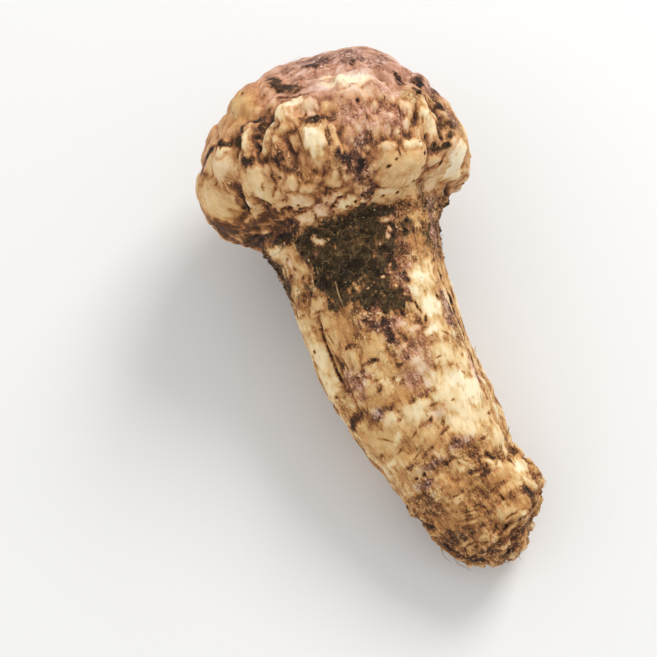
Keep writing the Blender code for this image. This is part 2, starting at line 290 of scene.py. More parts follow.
# Each mark: height, angle, half length along the fibres, half width round them and, where it leans, the lean
# towards +angle in degrees
MARKS: dict[Mark, Rows] = {
    Mark.SMOOTH_TAN: (
        (97, 12, 2, 4), (97, 34, 1.8, 5), (98, 62, 3, 5), (128, -62, 5, 6), (112, -70, 5, 5), (105, -45, 5, 6.5),
        (102, -22, 2.6, 6), (98, -30, 4, 6), (100.5, 20, 5.4, 9), (104, 56, 8, 7), (88, -62, 6, 6), (77, -60, 3, 6),
        (70.5, -52, 5, 4), (61, -30, 4, 5), (40, -48, 7, 10), (36, -20, 4, 9), (26.5, -26, 2.4, 6), (90, 37, 3, 4),
        (53, -14, 4, 3), (64, -50, 3, 3), (45, -68, 6, 4), (20, 28, 4, 6), (75, 48, 5, 5), (112, 66, 6, 5),
        (97, 55, 3, 6),
    ),
    Mark.ORANGE: (
        (50.5, -40, 3.4, 5.4), (49, -28, 3.4, 5), (58, -50, 2.4, 4), (38, -36, 3, 5), (123.5, -48, 4, 5),
        (107, -69, 4, 4), (102.5, -65, 2, 6), (69.5, -41, 3.4, 4.6), (72.6, -32, 2.2, 4), (56.5, -25, 2.6, 4.6),
        (83, 28, 3.6, 4.6), (19, -3, 4, 8), (17.5, -45, 5, 7), (23.5, -20, 2, 6), (13, -20, 3, 6), (104, -24, 3, 3.4),
        (104.5, 18, 1.6, 1.4), (31, -62, 3, 5), (12, 20, 3, 6),
    ),
    Mark.PINK: (
        (128, 36, 5, 7), (131.5, -2, 3.4, 5), (129, -15, 4, 5), (120, -14, 3.4, 3), (115, 5, 6, 7), (113, 19, 6, 5),
        (121, 22, 3.5, 5), (130, 24, 4, 6), (134, -28, 3, 5), (56.5, -52, 3.6, 5), (47.5, 42, 5, 2.2),
        (52, -12, 3, 3), (66, -8, 2.6, 3), (79, 16, 3, 2.2), (97, -22, 3, 5),
    ),
    Mark.PURPLE: (
        (108, 4, 2.6, 4), (136.6, -12, 2.6, 7), (136, 16, 2.6, 6), (137.6, 60, 4, 6), (133, 40, 3, 5),
        (134.8, -4, 3, 8), (133.5, 20, 3, 6), (112, 52, 5, 4.4), (121, 52, 4, 5), (92, 54, 3, 3),
        (47.6, -47, 1.6, 3.2), (32.6, 0, 1.8, 4.4), (31, -31, 1.3, 5), (66, 37.5, 4.4, 2.4), (85, 56, 6, 3),
        (116.5, -72, 3, 2.6), (61, 35, 3, 1.6), (27.5, -47, 1.4, 3.6),
    ),
    Mark.RUST: (
        (102.5, -75, 2.6, 5), (99.8, -60, 1.6, 8), (99.2, -49, 1.3, 5), (104, -83, 4, 3.4), (102, -87, 4, 3.4),
        (107, -90, 4, 3), (98, -90, 3, 4), (105, -82, 4, 2.4), (99, -70, 1.6, 6), (106.8, -28.6, 0.7, 4.6, 42),
        (109, -79, 3, 1.4), (97, -80, 3, 5), (103.5, -79, 3, 3), (101.5, -66, 0.8, 6, -12), (96.5, -66, 2.4, 8),
        (101, -76, 2.2, 6), (99.6, -62, 1.2, 5), (61.4, -58, 1.4, 1.6), (98, -56, 1.6, 5), (100.2, -50, 1, 3),
        (13.5, -60, 2, 7), (49, -68, 1.4, 3), (6.5, -20, 1.2, 8),
    ),
    Mark.RED: (
        (58.4, 2, 3.8, 4.2), (57.5, -7, 3, 2.8), (53.4, 3, 2.4, 3), (57.6, -55, 3, 3.4), (62, 8, 1.2, 2),
        (47.2, -8, 0.9, 2.3), (83.4, 22, 2.4, 1.8), (57, -43, 1.6, 2.6), (53, -52, 1.2, 3), (40.6, -16, 1, 1.8, -20),
        (50.5, -8, 1.2, 2),
    ),
    Mark.OLIVE: (
        (132, 150, 2.4, 6, 20), (126, -130, 2, 6, -15), (120, 120, 2.4, 4), (138, -160, 2, 4), (70, 54, 5, 1),
        (60, 53, 6, 0.9, 8), (50, 46, 4, 0.8, 8), (127.6, -27.5, 2.6, 5.8, 33), (118.6, 31, 3, 3),
        (110.5, 48.5, 3.6, 3.4), (103.9, 43, 1.6, 3.4), (117, 47, 3, 2.6), (110, 58, 2.4, 3.4),
        (110.5, -8.6, 3.6, 0.7), (92, 22, 3, 4), (88, 18, 2.4, 2.4), (58, 38, 3.8, 2.6), (67.8, 31.6, 2.2, 1.2),
        (73.4, 33.4, 1.2, 0.9), (13, -52, 2, 3.4), (72, -30, 1.2, 3, -10), (104, -8, 3.4, 1.4),
        (63.5, -40, 0.5, 3.4, -38), (96.5, 44, 2, 2), (36.5, -30, 0.6, 3, -20), (24, -50, 1.8, 4),
    ),
    Mark.TAN: (
        (127, -53, 2.8, 3.8), (104, -42, 4, 4.6), (105, -66, 4, 4.6), (42, -54, 3.2, 4.2), (92, -60, 1.6, 2.4),
        (86.5, -55.5, 2, 1.4), (62.3, -29, 2.8, 4), (62.4, -45, 2.4, 2.2, -30), (72, -55, 1.4, 2.6),
        (67.5, -57, 2.6, 1), (38, -22, 1.6, 4.4, -15), (35, -46, 1.6, 4.4), (28, -14, 1.2, 2.4),
        (21.2, -25, 0.9, 2.6), (27.8, -32, 0.8, 1.8), (9.2, -58, 1.8, 2.6), (89.6, 36, 1.8, 2.6),
        (21.5, 30, 2.2, 3.4), (17, 24, 1.6, 3), (16.3, -26.5, 0.35, 2.2, 20), (42, -62, 2.6, 2.4, -40),
        (38.8, -58, 1.6, 3), (58.8, -50, 0.6, 1.4), (54.4, -56, 0.7, 1.8), (56.8, -57.5, 0.6, 1.2), (53, -43, 1, 1.8),
        (57.6, -37, 0.5, 1.2), (70, 46, 2.4, 2), (28.5, 28, 1.8, 4), (12.2, 4, 1, 3, 20), (10, -30, 0.7, 3, 10),
        (95.6, 30, 1.4, 4), (119, -7, 2, 1.4), (14.5, -30, 0.5, 2, 15), (8, 0, 0.6, 3.4), (7, 25, 0.5, 4),
    ),
    Mark.PEACH: (
        (88.6, -66, 4, 2.8), (121.8, -17.5, 1.8, 2.6), (122.2, 4, 1.4, 4.6), (120.6, 11.5, 2.6, 2.4),
        (119, -19, 2.2, 2.4), (123, 22, 1.6, 1.8), (118, 22, 1.2, 1.6), (65, -4, 0.8, 1.4, 30), (62.6, 4, 0.8, 2.2),
        (59.8, -7.5, 0.7, 1.2), (55, -6, 1, 1.6), (104, 50, 5, 3), (52.5, -2, 1.4, 2), (49.5, -2, 1.6, 2.4),
        (96.6, 52, 2, 4), (41.5, -6, 1.6, 3), (113, 18, 1.4, 0.8), (112, 3, 1.8, 0.8), (46, 38, 3, 1.2),
    ),
    Mark.CREAM: (
        (127, 135, 2, 4), (134, -110, 2, 3), (60, 120, 9, 3), (40, -130, 8, 3.4), (125.6, -3, 2.4, 3.2),
        (125.2, 5, 2.8, 3.8), (124.6, 13.6, 2.5, 3.6), (127.8, -3, 1.2, 3), (93, -71, 1.7, 3.8),
        (82.9, -70.5, 1.5, 2), (66, -70, 8.6, 3.6), (74, -77, 3, 2.6), (58, -72, 3.2, 3), (60, -79, 5, 2.2),
        (75, 21, 3, 2.8), (74.2, 29.5, 3.6, 3.2), (76.5, 38, 2.4, 2.4), (66.5, 21.5, 4.2, 3.4), (60.5, 22, 2.6, 1.8),
        (54, 17, 3.4, 3.8), (48, 14, 3.4, 5), (45, 2, 3, 4.4), (42.5, 20, 5, 7.5), (36.5, 24, 3, 8),
        (37.5, 5, 2.8, 4.6), (60, 47.5, 9, 1.9), (34, 14, 2, 4), (16.4, 41, 2.4, 2.2), (19.5, 49, 4.4, 3.6),
        (50, 31, 3.4, 3.4), (30, 38, 3, 3.4), (43.8, -24, 2.6, 3.8), (45, -14, 1.8, 2.4), (25.2, 12.5, 0.7, 2.2, 38),
        (23, 20.5, 0.7, 1.8, 15), (28.3, -7, 0.7, 2.2, 35), (26.2, -11, 1.1, 1), (45.5, -42, 1.6, 2.4, -20),
        (40.5, -45, 1, 2.4, -30), (68, 52, 4, 2), (110.5, 62, 4, 2.4), (26, 42, 3, 2), (36, -62, 0.8, 2.4, -20),
    ),
    Mark.TAN_LUMP: (
        (106.8, -45.5, 4.4, 4.8), (107.4, -67.5, 4.6, 5), (106.6, -15.2, 3, 2.3), (111.9, -22.7, 2.6, 0.9),
        (110.2, -6.3, 3.8, 1), (113.4, -35.6, 2.8, 1.7, 18), (116, -25, 1.8, 2), (106.5, 5, 1, 0.8),
        (101.2, 39.6, 1.8, 2.2), (103.4, -29, 2.4, 1.7, 20), (101.3, -13, 2.2, 2.4), (77.2, -58.5, 1.9, 3.4),
        (101, -24, 1.6, 2.2), (100.4, -40, 1.4, 2), (115.5, -67, 2.6, 2.4), (98.6, -10, 1.4, 1.8),
    ),
    Mark.PEACH_LUMP: (
        (113.6, -57, 5, 4.4), (111, 33, 3.2, 2.2), (99.6, -33, 2.4, 4), (98.6, -16, 1.8, 3),
        (111.2, 24.7, 2.5, 1.7, 15), (115.2, 25, 2.2, 1.6), (105.9, 13, 1.6, 2.3), (96.6, -35, 2.8, 3.4),
        (96.4, -24, 2.4, 2.8), (120, -14.5, 2.2, 2.4), (108.5, 18.5, 1.6, 1), (116.5, 13, 1.4, 1),
        (102, -18.5, 1.6, 1.5),
    ),
    Mark.LOBE: (
        (100.6, 12.6, 3.4, 3), (100, 20, 3.6, 3.6), (99.6, 28.6, 3.6, 3.6), (96, 12, 2.2, 3.4), (95.8, 21, 2.2, 4.4),
        (96, 31, 2.2, 4), (103, 26, 1.6, 3),
    ),
    Mark.CREAM_LUMP: (
        (110.6, -14.8, 3.5, 2.9), (120.4, -25.4, 3.2, 2.8, 10), (121.8, -19.5, 1.6, 2), (116.2, -43, 2.6, 1.6, 25),
        (116, -34.4, 4.6, 2.1, 20), (117, -56.5, 1.5, 1.8), (113.2, 33, 1.9, 2.3), (108.8, 36.6, 3.6, 2.1),
        (112.4, 43.6, 2, 1, -15), (105.1, 24.2, 1.5, 2.7), (96.4, -11, 2.4, 3.4), (102.4, 56, 4.4, 4),
        (99, 63, 3, 4.4),
    ),
    # Painted light on the lobes' low edges and other places that the mushroom's shape shades.
    Mark.PAINTED_LIGHT_SHELF: (
        (97.4, 10, 1.8, 3), (97.2, 17, 1.8, 3.4), (97.2, 25, 2, 3.6), (97.4, 33, 1.8, 3), (103.6, -42, 2.6, 4),
        (111, 32, 1.6, 1.8), (98, 50, 2, 5), (99.6, 57, 2.4, 4), (97.6, -66, 1, 2.4),
    ),
    Mark.WHITE: (
        # The marks at angle 57 make the right lobe paler than its flesh where it turns from the light: painted light.
        (100.4, 57, 2.4, 2.6), (121.2, -21.5, 1.2, 1.7), (112.6, -14.6, 1.3, 1.9), (122.2, -25, 0.9, 2.4, 5),
        (125.2, 8, 1.5, 4), (61, 15.5, 1.1, 1.7), (43, 27, 3.8, 2.8), (19.8, 47, 1.6, 1.5), (66.6, 22.5, 3, 2.6),
        (118.5, -31.5, 1.2, 0.9, 20), (46.5, 22, 2, 2.4), (75, 25, 2, 2.6), (102, 57, 4, 3.4), (113, 34, 1, 1),
    ),
    Mark.BROWN: (
        (108.4, 7, 2.4, 1.7), (19, -9, 1.8, 2.8), (107, -25.5, 5.4, 1.6, -24), (101.5, -18.6, 2.4, 1.2, -20),
        # The marks at 84.6, -75 and 78.6, -80 paint the shade along the neck's left edge under the cap.
        (84.6, -75, 2.2, 3), (78.6, -80, 1.8, 5), (92, 22, 2.6, 3), (81, 16, 3, 2.6), (92, 37, 1.4, 2),
        (52.6, -36, 1.6, 0.8, 30), (48, -37, 0.9, 1.8), (51.8, -20, 0.7, 1.6, 20), (46.6, -20, 0.6, 1.2),
        (53.6, -24, 1.2, 0.5, 30), (49.6, -60, 0.7, 2.4), (34.6, -27, 0.6, 2.4, -15), (37, -8, 0.6, 2.2, -20),
        (33, -48, 0.7, 2.4), (70.8, -57, 0.5, 1.2), (66.2, -51, 1.2, 0.4), (56, -60, 1.6, 0.5),
        (24.8, -6, 0.7, 2.4, 15), (21, -12, 0.6, 2.4), (22.6, 8, 0.8, 2), (18.8, 16, 0.5, 2, 15),
        (27.4, 6, 0.6, 1.8, 30), (35.8, 40, 0.5, 2), (79, 24, 1, 1.6), (77.6, 45, 0.6, 2, -20), (56, 40, 1.6, 0.8),
        (106.6, -29, 0.8, 4.8, 42), (104, -38, 1.9, 0.5, 45), (110.6, -30, 2, 2), (109.5, -57.5, 1.6, 1.8),
        (114, -50.5, 1.8, 0.7), (105.5, -36, 2.4, 0.6, 15), (90.3, -66, 0.5, 0.8), (87.3, -62.6, 0.7, 0.8),
        (86.3, -69, 0.5, 0.8), (84.1, -62.2, 0.6, 0.6), (84.4, -57.8, 0.5, 0.7), (81.2, -66.5, 0.5, 0.8),
        (80.8, -58, 0.7, 1), (88.6, -52.8, 0.6, 0.5), (82.8, -54, 0.5, 0.6), (79.7, -72, 0.8, 3.4),
        # The mark at 86, -78 paints the shade along the neck's left edge under the cap.
        (80.2, -62, 0.5, 2.4), (86, -78, 4, 1.6), (76.3, -72, 0.7, 1.7), (64.4, -44, 0.9, 1.6), (60.3, -18, 0.7, 1.4),
        (59.2, -38.5, 0.5, 1), (58.2, -43.5, 0.5, 1.6), (40.4, -20, 0.6, 2.6, -10), (38.7, -67, 0.7, 1.2),
        (44.1, -36, 0.5, 1), (30.2, -22, 0.7, 2.2), (31.5, -37, 0.6, 1.6), (21, -55, 2.4, 3.4), (14.6, -62, 0.5, 4.4),
        (12, -42, 0.6, 4), (15.6, -36, 0.4, 2.4, 15), (12.4, -20, 0.7, 3.2), (18.3, 6, 0.5, 3), (14.2, -12, 0.7, 1.8),
        (8.6, 16, 0.4, 2.2), (8.8, 27, 0.4, 3), (6, -8, 0.5, 4), (5.6, 10, 0.4, 4), (71.5, 44, 1.4, 1, -30),
        (75.5, 41, 0.8, 1.6, -30), (86.5, 32, 1, 0.6), (118.8, 40.6, 1.2, 0.6), (102.4, 35.4, 2.4, 0.5),
        (24.5, 26, 0.5, 2.4, 20), (33.6, -8, 0.6, 2.4, 10), (50.8, 40, 0.8, 0.5), (45.6, 40.5, 1.2, 0.4),
        (113.6, 9, 1.2, 1.6), (116.4, -44, 0.4, 0.8), (122, -33.5, 0.6, 1.6, -25), (127.2, -38.3, 0.7, 0.6),
        (103, -50, 0.5, 1.8),
    ),
    Mark.VELVET: (
        (102, 1, 5.4, 3.4), (104.6, -5.6, 2.4, 1), (98, 5, 2.2, 1.2), (119.4, 36, 2, 1.2), (134.5, 2, 0.8, 1.8, 15),
        (104.4, -3.5, 3, 2.4), (97, 2.6, 2.4, 2.2), (67.8, -23, 2.2, 3.8, 10), (66.6, -15, 3.2, 2.8),
        (63, -15, 2.2, 1.8), (76, 12, 3, 1.4), (133.6, -11, 1.5, 2.6, 22), (132.4, -5.5, 1.3, 2.2, 25),
        (96.6, -46, 1.6, 3), (107, -7, 1.2, 0.8), (91.5, 17, 2.4, 1.6), (72, 8, 3.4, 1.6), (61, -12, 1.6, 1.4),
        (123.6, 44, 1.2, 3, -20),
    ),
    Mark.FUZZ: (
        (131, 158, 1.2, 3.6, 18), (125, -140, 1.2, 4, 10), (136, 120, 1.2, 2.6), (121, 105, 1.4, 3), (95, -84, 2, 4),
        (86, 12, 4, 1.2), (79, 11, 2.6, 1.3), (92, 16, 1.4, 1.2), (127.8, -27, 1.8, 5, 33),
        (130.4, -34, 1.8, 1.4, 20), (118.4, 40, 2, 1.4), (123, 42.5, 0.9, 2.2, -20), (115.4, 48, 1.6, 1.2),
        # The smears at 88, -80 and 84, -80 lie along the neck's left edge under the cap: dark soil and painted shade
        # together.
        (110, 49, 2, 1.6), (94.4, -56, 1.2, 3), (91, -50.5, 2.4, 0.9), (98, -79, 1.4, 4), (88, -80, 4, 1.6),
        (72, -2, 4, 3.4), (120.6, -77, 2.4, 2.6), (118.8, -68, 1.5, 2.4), (119, -61, 1.2, 2.4),
        (118.2, -55, 1.3, 2.4, 10), (117.4, -50.6, 1.5, 1.6), (119.2, -46, 1.5, 2.6, -35), (120.9, -39.5, 1, 2.6),
        (118.4, -37.4, 2.2, 1.1, 20), (115.8, -12, 1.5, 4.2), (111.2, -42.4, 1.6, 2.8), (109.6, -31, 1.4, 1.6),
        (94.6, -60, 1, 6), (84, -80, 4, 1.6), (71.5, -12, 2.6, 3.8), (120.2, 35, 0.9, 1.2), (104.2, 40, 1, 2.6),
        (104.6, 46, 1, 1.6), (47.6, -76, 1.8, 2), (14.2, 33, 1.4, 1.6), (6.5, -76, 3, 2.2),
        (131.2, -36.5, 0.9, 2.2, 25), (129.2, -33.5, 1.2, 0.8), (107, 47.5, 1.4, 1.4), (12.6, 37, 0.8, 2.2, 15),
        (95.6, -47, 1.2, 3),
    ),
    Mark.SOIL: (
        (92.6, -40, 1.2, 3.4), (92, -30, 1.4, 4), (92.6, -18, 1.4, 4), (93, -7, 1.4, 4), (93.4, 3, 1.8, 3.6),
        (78.5, -30, 2.6, 3.6), (92.6, -48, 1.4, 2), (75, -44, 1.2, 1.8), (86, -34, 8.4, 5), (85, -16, 9.6, 6),
        (78, -6, 7, 4.2), (90, 0, 4.6, 4.6), (80, -42, 5.6, 2.6), (89.6, -46, 4, 3), (82, -47, 4, 2),
        (118, -55.5, 0.6, 1.8, 10), (117, -50.4, 0.9, 0.9), (120.8, -77, 1.4, 1.6), (116.7, -12.5, 0.6, 1.8),
        (104, 42, 0.6, 2.4), (71, 1, 4.4, 2.6), (84, 8, 5, 2.4), (74.6, -20, 2.4, 3.6), (73.2, -17, 1.6, 2.4),
        (92, 12, 2.2, 2.2), (118.9, 34.6, 0.8, 0.6), (70, -8, 2.4, 2.4), (76, -34, 2.4, 3),
    ),
    Mark.FLECK: (
        (80.5, 10, 2.2, 1.3), (76.4, 8, 1.8, 1.6), (73, 9.6, 1.6, 1.1), (83, 12.6, 1.4, 1), (71.6, 3.6, 1.2, 1.3),
        (85, 4.6, 1, 1.2), (78.4, 3, 1, 0.9), (87, 12, 2.2, 1.2), (88.4, -40, 1, 1), (74.6, 1, 0.9, 1.2),
        (70, -16, 1, 1.6),
    ),
    Mark.CLOD: (
        (81.5, -1.6, 1.9, 1.7), (79.8, -25, 1.8, 1.6), (84.2, -33, 1, 1.2), (88, -21, 1.2, 1.8), (86, 7, 1.8, 1.4),
        (76.6, -9, 1.4, 1.4), (90.6, -9, 1, 2), (83.4, -45, 1.4, 0.9), (74, -17, 1.2, 2.4), (92.6, -22, 0.9, 1.4),
        (88.4, 3, 1.2, 1), (78, -40, 1.2, 0.9),
    ),
    Mark.CHIP: (
        (90.6, -34.6, 1.6, 2.1, 15), (90.6, 12, 1.2, 2.2), (88, 12.4, 1.6, 0.7), (86.6, 10.6, 1, 0.6),
        (77.2, -2.6, 0.5, 1.2, 10), (76, -15.6, 0.35, 0.5), (74, 4.6, 0.7, 0.5), (79.5, 6, 0.6, 0.4, 20),
        (87.5, -46.5, 0.5, 0.6), (71.6, 8, 0.8, 0.5),
    ),
    Mark.LINE: (
        (45, 43, 2, 0.3, 5), (78.5, 48, 1.6, 0.4, 10), (123.4, -15, 0.3, 1.6, -5), (127.6, -24.5, 0.3, 1.7, 35),
        (128.8, -29.5, 0.35, 1.8, 35), (126.3, -28, 0.3, 1.8, 30), (133, -46, 0.25, 1.4, 20),
        (134.2, -41, 0.3, 1.6, 20), (130.3, -59, 0.3, 1.5, 25), (111, -9.7, 3.4, 0.35), (113, -19.9, 3, 0.3),
        (112, -24.9, 2.4, 0.3), (97.7, -34, 0.3, 3.6), (95.8, -28.6, 1.5, 0.32, 25), (75.7, -58, 0.3, 2.6, 8),
        (62, -59.2, 1.6, 0.3), (60.6, -53.6, 2.6, 0.35), (61.6, -56.4, 1.5, 0.25, 10), (58.4, -59.4, 1.4, 0.3),
        (58.4, -55.6, 1.2, 0.3, -10), (57.5, -47, 0.3, 1.6, 30), (56.2, -40, 0.3, 1.6, 35), (55, -36, 0.4, 1.6, 20),
        (49.4, -54.8, 0.3, 1.9, -45), (41.6, -55.5, 2.4, 0.25, -50), (37.4, -50, 0.3, 1.8, -20), (43.8, -6, 0.3, 1.7),
        (47.6, 27, 0.9, 0.3, -45), (42.7, 9.3, 0.3, 0.6), (63.4, 8.5, 0.25, 1.4, 25), (58.8, 25.6, 0.3, 1.7, 40),
        (31, 19, 0.35, 1.7), (103.2, 17, 1.6, 0.35, -15), (106.6, 29.8, 1.4, 0.35), (118.4, 18, 1.6, 0.3, 10),
        (99, 36.5, 2.6, 0.35, 10), (114.6, 22.5, 2.2, 0.3, 10), (50.6, 20, 0.9, 0.26, -45), (53.6, 12.5, 0.25, 1),
        (52, 33, 0.9, 0.3, 10), (68.3, -55.6, 2.2, 0.22, -15), (103.4, -38.5, 1.7, 0.3, 45), (108.2, 20.5, 0.3, 1.6),
        (104.8, -41, 1.2, 0.25, 30), (113.5, 29.4, 2, 0.3), (110.6, 31.4, 1.6, 0.3), (72.4, 52, 1.8, 0.3, -30),
        (16.9, -26, 0.22, 2.2, 20), (27.9, -3.5, 0.3, 1.6, 35), (29.6, -10, 0.25, 1.8, 30), (22, -29, 0.25, 2),
        (10.8, 8, 0.25, 3), (10, -50, 0.25, 3), (13.6, -70, 0.3, 3), (17.4, -16, 0.25, 2, 15),
        (39.6, -30, 0.25, 2.4, -25), (34.6, -40, 0.22, 2, -20), (46.6, -49, 0.25, 1.8, -30),
    ),
    Mark.GROOVE: (
        (129, 165, 0.5, 4, 15), (133.6, 110, 0.5, 3, -20), (123, -150, 0.5, 3.6, 10), (60, 140, 6, 0.4),
        (74, 51.5, 3.6, 0.6), (67, 55, 4.2, 0.6), (58, 52, 4.6, 0.55, 10), (50, 46.5, 3.6, 0.45, 8),
        (105.4, -57, 3.2, 0.9, 14), (103.5, -58.6, 1, 1.3), (65, -64, 7.4, 0.3), (60, -64.4, 3.6, 0.36),
        (71.9, -62.6, 1, 0.4, 20), (108.2, 43, 3.2, 0.45), (101, 46, 2.6, 0.45, 10), (124.5, -25, 0.45, 4.2, 8),
        (123.6, -19.4, 0.7, 1.6, 14), (66.8, 13.4, 2, 0.36, -10), (63.6, 15.2, 1.2, 0.34, 25),
    ),
    Mark.DARK: (
        (103.4, 1.6, 1.4, 0.8), (106.2, -4.6, 0.9, 0.6), (131.4, -37, 1, 2.2, 25), (132, 14.6, 2, 0.9, 20),
        (131.9, 21.2, 0.5, 0.4), (128.4, 11, 0.9, 0.7), (124.4, 34.6, 3.2, 0.7), (126.7, 35, 0.4, 2, -25),
        (122.8, 32.6, 0.7, 0.8), (122.2, 42.5, 0.9, 2, -20), (126, 57, 0.5, 2.8, -20), (119.9, 35.6, 0.6, 0.5),
        (101.8, -50, 0.8, 0.7), (101.8, -46.9, 0.7, 0.6), (97, -74, 0.7, 7), (95.6, -60, 0.6, 3),
        (97, -17.6, 0.8, 0.8), (111, -42, 0.8, 1.4), (108.9, -31.2, 0.9, 1.4), (62, -15, 1, 1.3, -10),
        (64.6, -12.5, 1.2, 0.8), (55.8, -15.4, 0.6, 1.6), (64.9, -46, 0.5, 1, -10), (59.3, -31.5, 0.8, 1.6),
        (68.2, -24.5, 0.7, 1.6, 20), (29.9, -21, 0.4, 1.5), (26.4, 17.4, 0.6, 1.9, 45), (13.4, 35, 0.8, 1.6, 15),
        (58.6, -80.5, 0.7, 1), (47.4, -76, 1, 1.4), (68.4, 30.8, 0.9, 0.5), (40.7, -15, 0.5, 1.2, -20),
        (5.6, -76, 2, 1.6), (67, 1.6, 1.4, 1), (80.8, -58.2, 0.4, 0.6), (128.4, -50.4, 0.7, 0.6, -20),
        (106.6, 44, 1, 0.6), (45.2, -79, 1.4, 1.2), (117.6, -36.8, 1, 0.6, 20),
    ),
    Mark.CRACK: (
        (123.8, -20.4, 0.35, 1.4, 20), (66.9, 13.4, 1.5, 0.22, -10), (95.5, -29.2, 0.9, 0.22, 25),
        (123.9, 31.6, 1.2, 0.26), (60.6, -64.4, 2.4, 0.24),
    ),
    Mark.PIT: (
        (118.7, 6.5, 0.6, 0.4), (100.9, 12, 0.5, 0.6), (102, 15.2, 0.45, 0.5), (99.5, 29.5, 0.5, 0.55),
        (102.6, 30, 0.5, 0.55), (96.2, 12.2, 0.5, 0.8), (95.8, 21.2, 0.6, 0.5), (95.8, -9.8, 0.5, 0.55),
        (95.9, -5, 0.6, 0.45), (98.6, -34.6, 0.5, 0.6), (99.4, -33.6, 0.55, 0.45), (104.3, -47, 0.55, 0.35),
        (67.5, -72, 0.45, 0.45), (55.7, -71.5, 0.45, 0.5), (105.5, -33, 0.5, 0.55), (30, -50, 0.5, 0.6),
        (29.9, -42.6, 0.6, 0.55), (101.5, 33, 0.5, 0.55), (116.6, 18.5, 0.5, 0.3), (97.4, 26, 0.45, 0.5),
    ),
}

# Broad swells and hollows: height, angle, distance from the middle line, reach and rise
SWELLS: Rows = (
    (136, 52, 19, 12, 1.2), (124, 50, 31, 13, 1.5), (130.5, -52, 25.5, 11, 2.5), (140, -5, 10, 12, -1.5),
    (108, -80, 37, 14, 1.4), (94.6, 79, 26, 5, 1.6), (97.2, 10, 27.5, 5, 1), (97, 19, 27.5, 5, 0.9),
    (96.8, 28, 27.5, 5, 0.8), (97.6, -24, 27, 5, 0.6),
)


@dataclass
class Layers:
    """The weights and noises that the ground is mixed from, one value of each for every point.

    Crown, root and neck are zones, and hidden is the side of the crown that faces down. Wild is how freely a place
    varies: less where marks are listed. Sunk tells how deep a point lies in a hollow and the other weight how far it
    stands out on a bump; the tone is darker in hollows and paler on bumps, partly the skin's own colour and partly
    painted shade and painted light.
    """

    skin: Skin
    grain: np.ndarray
    cavity: np.ndarray
    marked_side: float = -10.0
    marked_reach: tuple[float, float] = (100.0, 70.0)
    hidden_zone: tuple[float, float] = (6.0, -16.0)

    def __post_init__(self) -> None:
        """Works out every layer once."""
        height = self.skin.height
        self.cap = self.skin.cap
        self.crown = smoothstep(*CROWN_ZONE, height)
        self.root = 1.0 - smoothstep(*ROOT_ZONE, height)
        self.wild = 1.0 - 0.7 * smoothstep(*self.marked_reach, np.abs(self.skin.angle - self.marked_side))
        self.neck = (1.0 - self.cap) * smoothstep(*NECK_ZONE, height) * (0.45 + 0.55 * self.wild)
        self.streaks = fractal_noise(self.grain, (1.5, 1.5, 9.0), 5, 1.0)
        self.blotches = fractal_noise(self.grain, (6.0, 6.0, 9.0), 4, 2.0)
        self.crumbs = fractal_noise(self.grain, (2.0, 2.0, 2.2), 5, 3.0)
        self.rings = fractal_noise(self.grain, (4.5, 4.5, 1.6), 4, 9.0)
        self.ragged = fractal_noise(self.grain, (2.2, 2.2, 3.6), 5, 7.0)
        self.lumps = smoothstep(0.03, 0.34, cell_noise(self.grain, (3.8, 3.8, 7.5), 0.6, 4.0))
        self.scales = smoothstep(0.02, 0.26, cell_noise(self.grain, (2.6, 2.6, 5.5), 0.7, 8.0))
        self.sunk = smoothstep(0.1, -0.9, self.cavity)
        self.proud_light = smoothstep(0.0, 0.9, self.cavity)
        self.wander = fractal_noise(self.skin.straight, (15.0, 15.0, 15.0), 3, 15.0)
        self.hidden = smoothstep(*self.hidden_zone, self.skin.straight[:, 2] + 8.0 * self.wander)

    def cap_tone(self) -> np.ndarray:
        """The cap: pale lumps with dark grooves at its side, a tan crown, darker in hollows and paler on bumps,
        partly its own colour and partly painted shade and painted light.
        """
        # Hollows darker and bumps paler, here and on the crown below: partly the skin's own dark grooves and pale
        # lumps, partly painted shade and painted light.
        side = 0.68 + 0.14 * self.proud_light - 0.42 * self.sunk
        side += self.wild * (0.28 * self.blotches + 0.40 * (self.lumps - 0.9) + 0.26 * self.ragged)
        top = 0.58 + 0.04 * self.proud_light - 0.15 * self.sunk
        top = top + 0.12 * self.blotches + 0.14 * self.streaks + 0.10 * self.ragged
        top += self.hidden * (0.16 * self.blotches + 0.24 * (self.scales - 0.9) + 0.08 * self.ragged)
        return side + (top - side) * self.crown

    def stem_tone(self) -> np.ndarray:
        """The stem with its streaks, the rough root and the neck, darker below the cap, partly from its soil and
        partly painted shade from the cap.
        """
        # Hollows darker and bumps paler on the stem and the root: partly their own colour, partly painted shade and
        # painted light.
        stem = 0.68 + 0.10 * self.proud_light - 0.22 * self.sunk + 0.12 * self.streaks
        stem += self.wild * (0.30 * self.blotches + 0.15 * self.streaks + 0.24 * (self.scales - 0.9))
        stem += 0.20 * self.ragged
        root = 0.48 + 0.20 * self.proud_light - 0.26 * self.sunk
        root += 0.20 * self.crumbs + 0.22 * self.rings + 0.20 * self.blotches
        below = stem + (root - stem) * self.root
        # The neck darkens towards the cap: partly soil, partly painted shade under the cap.
        return below + (0.42 + 0.3 * self.crumbs + 0.2 * self.blotches - below) * self.neck

    def relief(self) -> np.ndarray:
        """How far the ground stands out, in millimetres."""
        rise = self.cap * (1.0 - self.crown) * self.wild * 0.8 * (self.lumps - 0.8)
        rise += 0.30 * (1.0 - self.cap) * self.wild * (self.scales - 0.9)
        rise += 0.25 * self.cap * self.crown * self.hidden * (self.scales - 0.9)
        rise += 0.12 * self.streaks * (1.0 - self.neck)
        rise += (0.6 * self.root + 0.9 * self.neck) * self.crumbs + 0.5 * self.root * self.rings
        return rise + 0.25 * self.ragged * (1.0 - 0.7 * self.crown)


